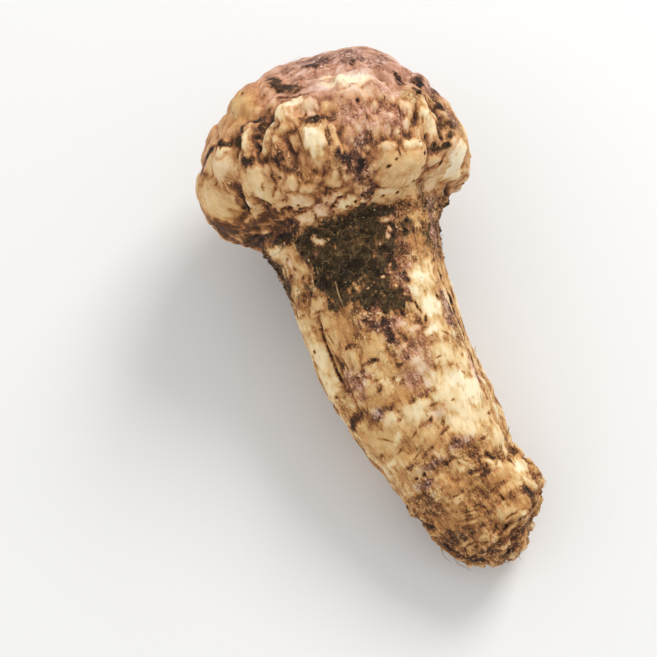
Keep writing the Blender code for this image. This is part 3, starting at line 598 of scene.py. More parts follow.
@dataclass
class Paint:
    """The looks and the relief of the skin at each point of the fine mesh.

    A mark touches points up to a margin beyond its reach. Its rim, the dark groove round a lump, partly its own dark
    skin and partly painted shade, starts and ends at distances from its edge, in millimetres, and is that much deeper
    than it is darker. Relief_edge is where a mark's own relief starts and ends, as a share of the way to its edge.
    """

    skin: Skin
    cavity: np.ndarray
    margin: float = 4.0
    rim_start: tuple[float, float] = (-0.5, 0.15)
    rim_end: tuple[float, float] = (0.35, 1.3)
    rim_depth: float = 1.3
    rim_fray: float = 0.4
    edge_fray: float = 0.5
    relief_edge: tuple[float, float] = (0.1, 1.1)
    tone: np.ndarray = field(init=False)
    pink: np.ndarray = field(init=False)
    grey: np.ndarray = field(init=False)
    soil: np.ndarray = field(init=False)
    rough: np.ndarray = field(init=False)
    rise: np.ndarray = field(init=False)
    grain: np.ndarray = field(init=False)

    def __post_init__(self) -> None:
        """Reads the grain once."""
        self.grain = self.skin.grain

    def lay_ground(self) -> None:
        """Gives each zone its own look: tan crown, pale lumps with dark grooves, streaked stem, rough root, with
        hollows partly darkened by painted shade and bumps partly lightened by painted light.
        """
        on = Layers(self.skin, self.grain, self.cavity)
        below = on.stem_tone()
        self.tone = below + (on.cap_tone() - below) * on.cap
        across = self.skin.straight[:, 0] + 7.0 * on.wander
        top = on.crown * on.cap
        self.pink = 0.05 + 0.15 * on.cap + 0.60 * top * smoothstep(-21.0, -13.0, across) + 0.10 * top
        self.pink += 0.08 * fractal_noise(self.grain, (9.0, 9.0, 12.0), 2, 5.0)
        self.grey = 0.30 * on.neck + 0.42 * top * smoothstep(-18.0, -5.0, across)
        self.grey += 0.08 * fractal_noise(self.grain, (7.0, 7.0, 7.0), 2, 6.0)
        self.soil = on.neck * smoothstep(0.0, 0.5, on.crumbs + on.blotches + 0.3 * on.sunk)
        self.rough = 0.85 - 0.3 * top - 0.35 * on.cap
        self.rise = on.relief()

    def lay_swells(self) -> None:
        """Raises and sinks the skin over wide places."""
        for height, angle, radius, reach, rise in SWELLS:
            turn = math.radians(angle)
            middle = np.array([radius * math.sin(turn), height, radius * math.cos(turn)])
            distance = np.linalg.norm(self.skin.straight - middle, axis=1)
            self.rise += rise * (1.0 - smoothstep(0.0, reach, distance))

    def lay_marks(self) -> None:
        """Lays this mushroom's own marks over the ground, kind by kind, the rims of a kind below its marks: the rims
        are partly the grooves' dark skin and partly painted shade.
        """
        stray = np.stack([fractal_noise(self.grain, (2.4, 2.4, 3.4), 3, seed) for seed in (11.0, 12.0)], 1)
        fray = fractal_noise(self.grain, (0.9, 0.9, 1.8), 3, 13.0)
        turns = np.radians(self.skin.angle)
        shape = np.stack([self.skin.height, turns, self.skin.radius, self.skin.arc], 1)
        for kind, places in MARKS.items():
            effect = kind.value
            ovals = [(*self.oval(place, shape, stray), min(place[2:4])) for place in places]
            # Painted shade, with the grooves' own dark skin, round the marks that have a rim.
            for near, oval, half in ovals:
                if effect.rim:
                    self.touch_shaded_rim(effect.rim, near, (oval + self.rim_fray * fray[near] - 1.0) * half)
            for near, oval, half in ovals:
                self.touch(effect, near, oval, fray[near])

    def oval(self, place: Sequence[float], shape: np.ndarray, stray: np.ndarray) -> tuple[np.ndarray, np.ndarray]:
        """How far the points near a mark lie from its middle, its edge being at 1.

        Args:
            place: height, angle, half length, half width and, where it leans, the lean.
            shape: each point's height, turn, radius and arc.
            stray: two noises that bend the mark, round the fibres and along them.

        Returns:
            The indices of the points near it, and one distance for each of them.
        """
        height, angle, half_length, half_width, lean = (*place, 0.0)[:5]
        reach = 2.0 * max(half_length, half_width) + self.margin
        band = np.flatnonzero(np.abs(shape[:, 0] - height) < reach)
        round_by = (shape[band, 1] - math.radians(angle) + math.pi) % (2.0 * math.pi) - math.pi
        distance = np.hypot(shape[band, 0] - height, shape[band, 2] * round_by)
        centre = band[int(distance.argmin())]
        close = distance < reach
        near, round_by = band[close], round_by[close]
        bend = min(1.0, 0.5 * min(half_length, half_width))
        across = round_by * shape[centre, 2] + bend * stray[near, 0]
        along = shape[near, 3] - shape[centre, 3] + bend * stray[near, 1]
        turn = math.radians(lean)
        wide = across * math.cos(turn) - along * math.sin(turn)
        long = across * math.sin(turn) + along * math.cos(turn)
        return near, np.hypot(wide / half_width, long / half_length)

    def touch_shaded_rim(self, darker: float, near: np.ndarray, beyond: np.ndarray) -> None:
        """Darkens and sinks the skin right around a mark: the groove's own dark skin and painted shade together.

        Args:
            darker: how much darker.
            near: the points near the mark.
            beyond: their way past its edge, in millimetres.
        """
        ring = smoothstep(*self.rim_start, beyond) * (1.0 - smoothstep(*self.rim_end, beyond))
        # Painted shade, with the groove's own dark skin.
        self.tone[near] -= darker * ring
        self.rise[near] -= self.rim_depth * darker * ring

    def touch(self, effect: Effect, near: np.ndarray, oval: np.ndarray, fray: np.ndarray) -> None:
        """Lays one mark.

        Args:
            effect: what the mark does to the skin.
            near: the points near it.
            oval: how far each of them lies from its middle, its edge being at 1.
            fray: a noise that frays its edge.
        """
        low, high = 1.0 - effect.softness, 1.0 + 0.3 * effect.softness
        share = (1.0 - smoothstep(low, high, oval + self.edge_fray * fray)) * effect.cover
        for name in PAINTED:
            values = getattr(self, name)
            values[near] += (getattr(effect, name) - values[near]) * share
        self.rise[near] *= 1.0 - 0.9 * (1.0 - effect.rough) * share
        self.rise[near] += effect.rise * (1.0 - smoothstep(*self.relief_edge, oval))


class Value:
    """A socket or a number in a shader's maths, so that Python's operators add its Math nodes."""

    def __init__(self, shader: "Shader", socket: Any) -> None:
        """Wraps a socket of that shader."""
        self.shader = shader
        self.socket = socket

    def math(self, operation: str, *others: Any) -> "Value":
        """A Math node of that operation on this value and the others."""
        values = [self, *others]
        return Value(self.shader, self.shader.node("ShaderNodeMath", {"operation": operation}, values))

    def __add__(self, other: Any) -> "Value":
        """This value plus the other."""
        return self.math("ADD", other)

    __radd__ = __add__

    def __mul__(self, other: Any) -> "Value":
        """This value times the other."""
        return self.math("MULTIPLY", other)

    __rmul__ = __mul__

    def __sub__(self, other: Any) -> "Value":
        """This value less the other."""
        return self.math("SUBTRACT", other)

    def __rsub__(self, other: Any) -> "Value":
        """The other less this value."""
        return Value(self.shader, self.shader.node("ShaderNodeMath", {"operation": "SUBTRACT"}, [other, self]))

    def clipped(self) -> "Value":
        """This value held between 0 and 1."""
        return Value(self.shader, self.shader.node("ShaderNodeClamp", {}, [self, 0.0, 1.0]))

    def between(self, low: float, high: float) -> "Value":
        """A smooth rise from 0 where this value is low to 1 where it is high."""
        settings = {"interpolation_type": "SMOOTHSTEP"}
        inputs = {"Value": self, "From Min": low, "From Max": high}
        return Value(self.shader, self.shader.node("ShaderNodeMapRange", settings, inputs, "Result"))


class Shader:
    """A material's node tree, with one method for every node but the maths."""

    def __init__(self, name: str) -> None:
        """Makes an empty material of that name."""
        self.material = bpy.data.materials.new(name)
        self.material.use_nodes = True
        self.tree = self.material.node_tree
        self.tree.nodes.clear()

    def node(self, kind: str, settings: dict[str, Any], inputs: Any, output: str | int = 0) -> Any:
        """Adds a node.

        Args:
            kind: the node's type.
            settings: its properties, set first; a ramp's stops are rows of (position, colour).
            inputs: its inputs by name, or in order: numbers, colours, vectors, sockets or values.
            output: the output that is wanted.

        Returns:
            The output socket.
        """
        made = self.tree.nodes.new(kind)
        for key, setting in settings.items():
            if key == "stops":
                self.set_stops(made.color_ramp, setting)
            else:
                setattr(made, key, setting)
        named = inputs.items() if isinstance(inputs, dict) else enumerate(inputs)
        for key, value in named:
            socket = made.inputs[key]
            value = value.socket if isinstance(value, Value) else value
            if isinstance(value, bpy.types.NodeSocket):
                self.tree.links.new(value, socket)
            else:
                socket.default_value = value
        return made.outputs[output] if len(made.outputs) else made

    def set_stops(self, ramp: Any, stops: Stops) -> None:
        """Gives a colour ramp its stops, as rows of position and colour."""
        while len(ramp.elements) < len(stops):
            ramp.elements.new(0.5)
        for element, (position, colour) in zip(ramp.elements, stops):
            element.position = position
            element.color = (*colour, 1.0)

    def attribute(self, name: str) -> Value:
        """The piece's own number of that name."""
        return Value(self, self.node("ShaderNodeAttribute", {"attribute_name": name}, {}, "Fac"))

    def grain(self, stretch: Sequence[float]) -> Any:
        """The piece's coordinates along its fibres, each divided by a stretch in millimetres."""
        vector = self.node("ShaderNodeAttribute", {"attribute_name": "grain"}, {}, "Vector")
        scale = tuple(1.0 / size for size in stretch)
        return self.node("ShaderNodeMapping", {}, {"Vector": vector, "Scale": scale})

    def place(self, size: float) -> Any:
        """The piece's object coordinates, divided by a size in millimetres."""
        vector = self.node("ShaderNodeTexCoord", {}, {}, "Object")
        return self.node("ShaderNodeMapping", {}, {"Vector": vector, "Scale": (1.0 / (size * MM),) * 3})

    def noise(self, vector: Any, detail: float = 4.0, roughness: float = 0.6, distortion: float = 0.0) -> Value:
        """Soft noise round 0, seldom beyond -1 and 1."""
        inputs = {"Vector": vector, "Scale": 1.0, "Detail": detail, "Roughness": roughness, "Distortion": distortion}
        return (Value(self, self.node("ShaderNodeTexNoise", {}, inputs, "Fac")) - 0.5) * 4.0

    def dots(self, size: float, radius: float) -> Value:
        """Round dots, 1 in their middles and 0 between them, a size in millimetres apart, radius a share of it."""
        vector = self.place(size)
        inputs = {"Vector": vector, "Scale": 1.0, "Randomness": 1.0}
        distance = Value(self, self.node("ShaderNodeTexVoronoi", {}, inputs, "Distance"))
        return 1.0 - distance.between(radius, radius * 1.8)

    def flakes(self, stretch: Sequence[float]) -> tuple[Value, Value]:
        """Ragged flakes along the fibres, of about a stretch in millimetres.

        Args:
            stretch: a flake's size round the fibres, twice, and along them.

        Returns:
            Each flake's own value from -1 to 1, and 1 on the line between two of them, 0 elsewhere.
        """
        swirl = self.node("ShaderNodeTexNoise", {}, {"Vector": self.grain((1.2, 1.2, 1.8)), "Detail": 5.0}, "Color")
        swirl = self.node("ShaderNodeVectorMath", {"operation": "SUBTRACT"}, {0: swirl, 1: (0.5, 0.5, 0.5)})
        swirl = self.node("ShaderNodeVectorMath", {"operation": "SCALE"}, {0: swirl, "Scale": 1.5})
        vector = self.node("ShaderNodeVectorMath", {"operation": "ADD"}, {0: self.grain(stretch), 1: swirl})
        inputs = {"Vector": vector, "Scale": 1.0}
        colour = self.node("ShaderNodeTexVoronoi", {}, inputs, "Color")
        own = Value(self, self.node("ShaderNodeSeparateColor", {}, [colour], "Red"))
        edge = Value(self, self.node("ShaderNodeTexVoronoi", {"feature": "DISTANCE_TO_EDGE"}, inputs, "Distance"))
        return own * 2.0 - 1.0, 1.0 - edge.between(0.0, 0.14)

    def mix(self, share: Any, first: Any, second: Any, blend: str = "MIX") -> Any:
        """Two colours mixed by a share of the second."""
        settings = {"data_type": "RGBA", "blend_type": blend}
        first = (*first, 1.0) if isinstance(first, tuple) else first
        second = (*second, 1.0) if isinstance(second, tuple) else second
        return self.node("ShaderNodeMix", settings, {0: share, 6: first, 7: second}, 2)

    def tinted(self, share: Value, colour: Any, tint: Colour) -> Any:
        """A colour multiplied by a tint, as far as a share from 0 to 1 says."""
        return self.mix(share.clipped(), colour, self.mix(1.0, colour, tint, "MULTIPLY"))

    def ramp(self, value: Value, stops: Stops) -> Any:
        """A colour for each value from 0 to 1."""
        return self.node("ShaderNodeValToRGB", {"stops": stops}, [value], "Color")

    def finish(self, numbers: dict[str, Any], links: dict[str, Any]) -> bpy.types.Material:
        """Closes the material with one Principled BSDF.

        Args:
            numbers: its uniform inputs.
            links: its inputs that vary over the surface.

        Returns:
            The material.
        """
        surface = self.node("ShaderNodeBsdfPrincipled", {}, {**numbers, **links}, "BSDF")
        self.node("ShaderNodeOutputMaterial", {}, {"Surface": surface})
        return self.material


def seen(red: float, green: float, blue: float) -> Colour:
    """A colour for the shader from one as it is seen, each part from 0 to 255."""
    return tuple(((part / 255 + 0.055) / 1.055) ** 2.4 for part in (red, green, blue))


@dataclass(frozen=True)
class SkinFinish:
    """The mushroom's skin: cream flesh under tan, red-brown and blackish fibres, with soil stuck to it."""

    tones: Stops = (
        (0.00, seen(26, 18, 12)),
        (0.14, seen(58, 36, 22)),
        (0.28, seen(98, 60, 34)),
        (0.40, seen(143, 91, 49)),
        (0.50, seen(178, 120, 67)),
        (0.62, seen(209, 155, 93)),
        (0.76, seen(228, 191, 131)),
        (0.90, seen(242, 217, 170)),
        (1.00, seen(251, 235, 199)),
    )
    earth_tones: Stops = (
        (0.00, seen(22, 17, 10)),
        (0.30, seen(50, 39, 24)),
        (0.50, seen(80, 64, 41)),
        (0.66, seen(112, 92, 62)),
        (0.80, seen(154, 133, 98)),
        (1.00, seen(214, 200, 168)),
    )
    pink_tint: Colour = (1.05, 1.05, 2.00)
    grey_tint: Colour = (0.86, 1.06, 1.35)
    warm_tint: Colour = (1.40, 1.02, 0.72)
    bump_depth: float = 0.16

    def material(self) -> bpy.types.Material:
        """The finish as a material."""
        shader = Shader("mushroom_skin")
        fibres = shader.noise(shader.grain((0.5, 0.5, 4.0)), 5.0, 0.62, 0.3)
        threads = shader.noise(shader.grain((0.22, 0.22, 2.0)), 3.0, 0.6)
        mottle = shader.noise(shader.grain((1.3, 1.3, 2.1)), 7.0, 0.7, 0.8)
        speckle = shader.noise(shader.place(0.42), 3.0, 0.7)
        rough = shader.attribute("rough") * (1.45 - shader.attribute("tone")).clipped()
        tone = shader.attribute("tone") + rough * (fibres * 0.12 + mottle * 0.20 + speckle * 0.10 + threads * 0.06)
        flake, shaded_seam = shader.flakes((1.7, 1.7, 3.2))
        # Darker along the lines between flakes: partly the dark fibres between scales, partly painted shade under
        # their edges.
        tone = tone + rough * (flake * 0.17 - shaded_seam * (0.5 - flake * 0.5) * 0.34)
        specks = (rough * 1.5 - 0.55).clipped() * (0.4 + mottle * 0.6).clipped()
        tone = tone - shader.dots(0.75, 0.30) * specks * 0.42 + shader.dots(0.95, 0.22) * specks * 0.55
        colour = shader.ramp(tone.clipped(), self.tones)
        colour = shader.tinted(shader.attribute("pink") + mottle * rough * 0.25, colour, self.pink_tint)
        colour = shader.tinted(shader.attribute("grey") + speckle * rough * 0.2, colour, self.grey_tint)
        grit = shader.noise(shader.place(0.55), 4.0, 0.75)
        clods = shader.noise(shader.place(2.6), 5.0, 0.7, 0.6)
        patches = shader.noise(shader.place(9.0), 3.0, 0.6, 0.8)
        earth = shader.ramp((grit * 0.22 + clods * 0.26 + patches * 0.16 + 0.42).clipped(), self.earth_tones)
        earth = shader.tinted(mottle * 0.4 + patches * 0.5 + 0.12, earth, self.warm_tint)
        cover = (shader.attribute("soil") + mottle * 0.36 + grit * 0.16 + clods * 0.12).between(0.14, 0.62)
        colour = shader.mix(cover, colour, earth)
        height = rough * (fibres * 0.5 + speckle * 0.45 + mottle * 0.6 + flake * 0.5 - shaded_seam * 0.9)
        height = height + threads * 0.15 + grit * cover * 1.2
        depths = {"Strength": 0.6, "Distance": self.bump_depth * MM, "Height": height}
        bump = shader.node("ShaderNodeBump", {}, depths)
        roughness = (0.60 + speckle * 0.08 + cover * 0.25).clipped()
        numbers = {"Specular IOR Level": 0.25}
        return shader.finish(numbers, {"Base Color": colour, "Roughness": roughness, "Normal": bump})


@dataclass
class Mushroom:
    """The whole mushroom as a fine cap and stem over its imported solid."""

    voxel: float = 0.435
    facet_rounds: int = 12
    cavity_rounds: int = 140
    rest_from: float = 0.3
    rest_to: float = 2.2
    cut_height: float = 93.0
    growth: Growth = Growth()
    finish: SkinFinish = SkinFinish()

    def build(self, node: bpy.types.Object) -> tuple["Surface", list[bpy.types.Object]]:
        """Makes the pieces and paints them.

        Args:
            node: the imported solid.

        Returns:
            The finished skin as a surface to set things on, and the finished pieces.
        """
        whole = self.fine_copy(node)
        points, normals = self.read(whole.data)
        smooth = self.relaxed(whole.data, points, self.cavity_rounds)
        cavity = ((points - smooth) * normals).sum(1) / MM
        skin = Skin(self.growth.straight(points))
        paint = Paint(skin, cavity)
        paint.lay_ground()
        paint.lay_marks()
        paint.lay_swells()
        self.write(whole.data, points, normals, paint)
        whole.data.materials.append(self.finish.material())
        surface = Surface(skin, paint, *self.read(whole.data))
        upper = skin.height > self.cut_height
        on_cap = np.array([upper[list(face.vertices)].any() for face in whole.data.polygons])
        pieces = [self.part_of(whole, "mushroom_cap", on_cap), self.part_of(whole, "mushroom_stem", ~on_cap)]
        bpy.data.objects.remove(whole)
        for piece in pieces:
            piece.data.shade_smooth()
            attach(piece, BODY)
            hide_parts(NODE)
        return surface, pieces

    def part_of(self, whole: bpy.types.Object, name: str, kept: np.ndarray) -> bpy.types.Object:
        """The kept faces as a piece of their own, closed where they were cut off.

        Args:
            whole: the piece that is cut.
            name: the new piece's name.
            kept: for each face, whether the new piece has it.

        Returns:
            The new piece.
        """
        form = bmesh.new()
        form.from_mesh(whole.data)
        away = [face for face in form.faces if not kept[face.index]]
        bmesh.ops.delete(form, geom=away, context="FACES")
        rim = [edge for edge in form.edges if edge.is_boundary]
        bmesh.ops.triangle_fill(form, edges=rim, use_beauty=True)
        mesh = mesh_of(name, form)
        mesh.materials.append(whole.data.materials[0])
        return place_object(name, mesh)

    def fine_copy(self, node: bpy.types.Object) -> bpy.types.Object:
        """A copy of the solid as an even, fine mesh without facets."""
        source = place_object("whole_mushroom", node.data.copy())
        form = bmesh.new()
        form.from_mesh(source.data)
        bmesh.ops.remove_doubles(form, verts=form.verts, dist=1e-6)
        form.to_mesh(source.data)
        form.free()
        remesh = source.modifiers.new("even mesh", "REMESH")
        remesh.mode = "VOXEL"
        remesh.voxel_size = self.voxel * MM
        soften = source.modifiers.new("no facets", "SMOOTH")
        soften.iterations = self.facet_rounds
        graph = bpy.context.evaluated_depsgraph_get()
        fine = bpy.data.meshes.new_from_object(source.evaluated_get(graph))
        source.modifiers.clear()
        source.data = fine
        source.data.materials.clear()
        return source

    def read(self, mesh: bpy.types.Mesh) -> tuple[np.ndarray, np.ndarray]:
        """A mesh's vertices and their normals."""
        points = np.empty(len(mesh.vertices) * 3)
        normals = np.empty(len(mesh.vertices) * 3)
        mesh.vertices.foreach_get("co", points)
        mesh.vertices.foreach_get("normal", normals)
        return points.reshape(-1, 3), normals.reshape(-1, 3)

    def relaxed(self, mesh: bpy.types.Mesh, values: np.ndarray, rounds: int) -> np.ndarray:
        """Values at the vertices, each averaged with its neighbours again and again.

        Args:
            mesh: the mesh whose edges join the neighbours.
            values: one row for each vertex.
            rounds: how many times.

        Returns:
            The relaxed values.
        """
        edges = np.empty(len(mesh.edges) * 2, np.int64)
        mesh.edges.foreach_get("vertices", edges)
        starts, ends = edges[0::2], edges[1::2]
        into, out = np.concatenate([starts, ends]), np.concatenate([ends, starts])
        count = len(mesh.vertices)
        shares = 1.0 / np.maximum(np.bincount(into, minlength=count), 1)
        for _ in range(rounds):
            sums = [np.bincount(into, weights=column[out], minlength=count) for column in values.T]
            values = 0.5 * values + 0.5 * np.stack(sums, 1) * shares[:, None]
        return values

    def write(self, mesh: bpy.types.Mesh, points: np.ndarray, normals: np.ndarray, paint: Paint) -> None:
        """Raises the relief, except where the mushroom rests, and stores the paint with the mesh."""
        free = smoothstep(self.rest_from * MM, self.rest_to * MM, points[:, 2])
        raised = points + normals * (paint.rise * free * MM)[:, None]
        raised[:, 2] = np.maximum(raised[:, 2], 0.0)
        mesh.vertices.foreach_set("co", raised.ravel())
        for name in PAINTED:
            mesh.attributes.new(name, "FLOAT", "POINT").data.foreach_set("value", getattr(paint, name))
        mesh.attributes.new("grain", "FLOAT_VECTOR", "POINT").data.foreach_set("vector", paint.grain.ravel())
        mesh.update()


@dataclass(frozen=True)
class Surface:
    """The finished skin, to set small things on."""

    skin: Skin
    paint: Paint
    points: np.ndarray
    normals: np.ndarray

    def nearest(self, height: float, angle: float) -> int:
        """The point of the skin nearest to a height and an angle."""
        round_by = np.radians((self.skin.angle - angle + 180.0) % 360.0 - 180.0)
        return int(np.hypot(self.skin.height - height, self.skin.radius * round_by).argmin())

    def at(self, height: float, angle: float, lift: float) -> Vector:
        """A place above the skin, lift in millimetres, in metres."""
        index = self.nearest(height, angle)
        return Vector(self.points[index] + self.normals[index] * lift * MM)

    def pick(self, chances: np.ndarray, count: int, seed: int, lowest: float = 2.5) -> np.ndarray:
        """Points picked at random by their chances, none near the floor.

        Args:
            chances: each point's chance, in any unit.
            count: how many points.
            seed: picks one draw out of many.
            lowest: the least height above the floor, in millimetres.

        Returns:
            The points' indices.
        """
        chances = np.clip(chances, 0.0, None) * (self.points[:, 2] > lowest * MM)
        return np.random.default_rng(seed).choice(len(chances), count, replace=False, p=chances / chances.sum())


def link_piece(name: str, mesh: bpy.types.Mesh, material: bpy.types.Material) -> bpy.types.Object:
    """Args:
        name: the piece's name.
        mesh: its mesh.
        material: its finish.

    Returns:
        The piece.
    """
    mesh.materials.clear()
    mesh.materials.append(material)
    piece = place_object(name, mesh)
    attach(piece, BODY)
    return piece


@dataclass(frozen=True)
class EarthFinish:
    """Crumbs of soil, from near-black to tan, each with its own shade."""

    tones: Stops = (
        (0.00, seen(24, 18, 11)),
        (0.35, seen(50, 38, 24)),
        (0.60, seen(86, 66, 43)),
        (0.80, seen(132, 104, 70)),
        (1.00, seen(206, 186, 150)),
    )

    def material(self, name: str) -> bpy.types.Material:
        """The finish as a material of that name."""
        shader = Shader(name)
        grit = shader.noise(shader.place(0.35), 4.0, 0.75)
        colour = shader.ramp((shader.attribute("shade") + grit * 0.16).clipped(), self.tones)
        bump = shader.node("ShaderNodeBump", {}, {"Strength": 0.6, "Distance": 0.12 * MM, "Height": grit})
        numbers = {"Roughness": 0.9, "Specular IOR Level": 0.2}
        return shader.finish(numbers, {"Base Color": colour, "Normal": bump})


@dataclass(frozen=True)
class FibreFinish:
    """Dry threads and rootlets, each with its own shade from brown to white."""

    tones: Stops = (
        (0.00, seen(84, 58, 34)),
        (0.40, seen(150, 112, 72)),
        (0.70, seen(214, 190, 150)),
        (1.00, seen(248, 242, 226)),
    )

    def material(self, name: str) -> bpy.types.Material:
        """The finish as a material of that name."""
        shader = Shader(name)
        flecks = shader.noise(shader.place(0.8), 3.0, 0.6)
        colour = shader.ramp((shader.attribute("shade") + flecks * 0.08).clipped(), self.tones)
        return shader.finish({"Roughness": 0.7, "Specular IOR Level": 0.25}, {"Base Color": colour})


@dataclass
class Crumbs:
    """Crumbs stuck to the skin, all in one piece, their sizes in millimetres.

    Flatness and sunk are shares of a crumb's size, sunk telling how deep it sits. The greater the smallness, the
    fewer crumbs come near the largest size. The jitter roughens each crumb.
    """

    name: str
    count: int
    smallest: float
    largest: float
    shade: tuple[float, float]
    flatness: float = 0.7
    sunk: float = 0.35
    seed: int = 1
    smallness: int = 4
    stretches: tuple[float, float] = (0.7, 1.25)
    jitter: float = 0.16

    def build(self, surface: Surface, chances: np.ndarray, finish: EarthFinish) -> bpy.types.Object:
        """Makes the crumbs.

        Args:
            surface: the skin they stick to.
            chances: how likely each point of it has one.
            finish: what they are made of.

        Returns:
            The piece.
        """
        draw = np.random.default_rng(self.seed)
        form = bmesh.new()
        shade = form.verts.layers.float.new("shade")
        for index in surface.pick(chances, self.count, self.seed):
            size = self.smallest + (self.largest - self.smallest) * draw.random() ** self.smallness
            normal = Vector(surface.normals[index])
            place = Vector(surface.points[index]) + normal * (0.5 - self.sunk) * size * self.flatness * MM
            turn = normal.to_track_quat("Z", "X").to_matrix().to_4x4()
            turn @= Matrix.Rotation(draw.uniform(0.0, 2.0 * math.pi), 4, "Z")
            sides = draw.uniform(*self.stretches, 2) * size
            stretch = Matrix.Diagonal((*sides, self.flatness * size, 1.0 / MM))
            matrix = Matrix.Translation(place) @ turn @ (stretch * MM)
            made = bmesh.ops.create_icosphere(form, subdivisions=1, radius=0.5, matrix=matrix)
            tone = draw.uniform(*self.shade)
            for corner in made["verts"]:
                corner.co += Vector(draw.uniform(-self.jitter, self.jitter, 3) * size * MM)
                corner[shade] = tone
        mesh = mesh_of(self.name, form)
        mesh.shade_smooth()
        return link_piece(self.name, mesh, finish.material(self.name))


@dataclass(frozen=True)
class Strand:
    """One thread: its way over the skin as rows of height, angle and lift, its thickness and shade."""

    way: tuple[tuple[float, float, float], ...]
    thickness: float
    shade: float


@dataclass
class Threads:
    """Fine threads that lie on the skin or stand off it, all in one piece.

    Scattered threads have a number of steps and bend at random, from root_lift above the skin. Every thread tapers
    at its ends to a share of its thickness.
    """

    name: str
    strands: list[Strand]
    seed: int = 1
    steps: int = 4
    bend: float = 0.3
    root_lift: float = 0.05
    taper: float = 0.35

    def scatter(
        self,
        surface: Surface,
        chances: np.ndarray,
        count: int,
        longest: float,
        lift: float,
        thickness: float,
        shade: tuple[float, float],
    ) -> None:
        """Adds short bent threads at random.

        Args:
            surface: the skin they lie on.
            chances: how likely each point of it has one.
            count: how many.
            longest: the greatest length, in millimetres.
            lift: how far their free ends may stand off, in millimetres.
            thickness: their greatest thickness, in millimetres.
            shade: the range of their shades.
        """
        draw = np.random.default_rng(self.seed)
        for index in surface.pick(chances, count, self.seed):
            height, angle = surface.skin.height[index], surface.skin.angle[index]
            heading, bend = draw.uniform(0.0, 2.0 * math.pi), draw.normal(0.0, self.bend, 2)
            step = draw.uniform(0.4, 1.0) * longest / self.steps
            rise = draw.uniform(0.0, 1.0) * lift
            way = []
            for number in range(self.steps + 1):
                share = number / self.steps
                way.append((float(height), float(angle), self.root_lift + rise * share**2))
                heading += bend[0] + bend[1] * share
                height += step * math.sin(heading)
                angle += math.degrees(step * math.cos(heading) / max(8.0, surface.skin.radius[index]))
            self.strands.append(Strand(tuple(way), thickness * draw.uniform(0.5, 1.0), draw.uniform(*shade)))

    def build(self, surface: Surface, finish: FibreFinish) -> bpy.types.Object:
        """Makes the threads as thin tubes that taper to their ends.

        Args:
            surface: the skin they lie on.
            finish: what they are made of.

        Returns:
            The piece.
        """
        curve = bpy.data.curves.new(self.name, "CURVE")
        curve.dimensions = "3D"
        curve.bevel_depth = MM
        curve.bevel_resolution = 0
        curve.resolution_u = 3
        curve.use_fill_caps = True
        shades = []
        for strand in self.strands:
            spline = curve.splines.new("NURBS")
            spline.points.add(len(strand.way) - 1)
            spline.order_u = 3
            spline.use_endpoint_u = True
            for number, (point, spot) in enumerate(zip(spline.points, strand.way)):
                end = number in (0, len(strand.way) - 1)
                point.co = (*surface.at(*spot), 1.0)
                point.radius = strand.thickness / 2 * (self.taper if end else 1.0)
            shades.append(strand.shade)
        holder = place_object(self.name + "_way", curve)
        graph = bpy.context.evaluated_depsgraph_get()
        mesh = bpy.data.meshes.new_from_object(holder.evaluated_get(graph))
        bpy.data.objects.remove(holder)
        self.colour(mesh, shades)
        mesh.shade_smooth()
        return link_piece(self.name, mesh, finish.material(self.name))

    def colour(self, mesh: bpy.types.Mesh, shades: Sequence[float]) -> None:
        """Gives each thread of the mesh its shade: a thread's points follow each other, as the shades do."""
        form = bmesh.new()
        form.from_mesh(mesh)
        form.verts.ensure_lookup_table()
        values = np.full(len(form.verts), -1.0)
        order = 0
        for start in form.verts:
            if values[start.index] >= 0.0:
                continue
            stack = [start]
            while stack:
                corner = stack.pop()
                if values[corner.index] < 0.0:
                    values[corner.index] = shades[min(order, len(shades) - 1)]
                    stack.extend(edge.other_vert(corner) for edge in corner.link_edges)
            order += 1
        form.free()
        mesh.attributes.new("shade", "FLOAT", "POINT").data.foreach_set("value", values)


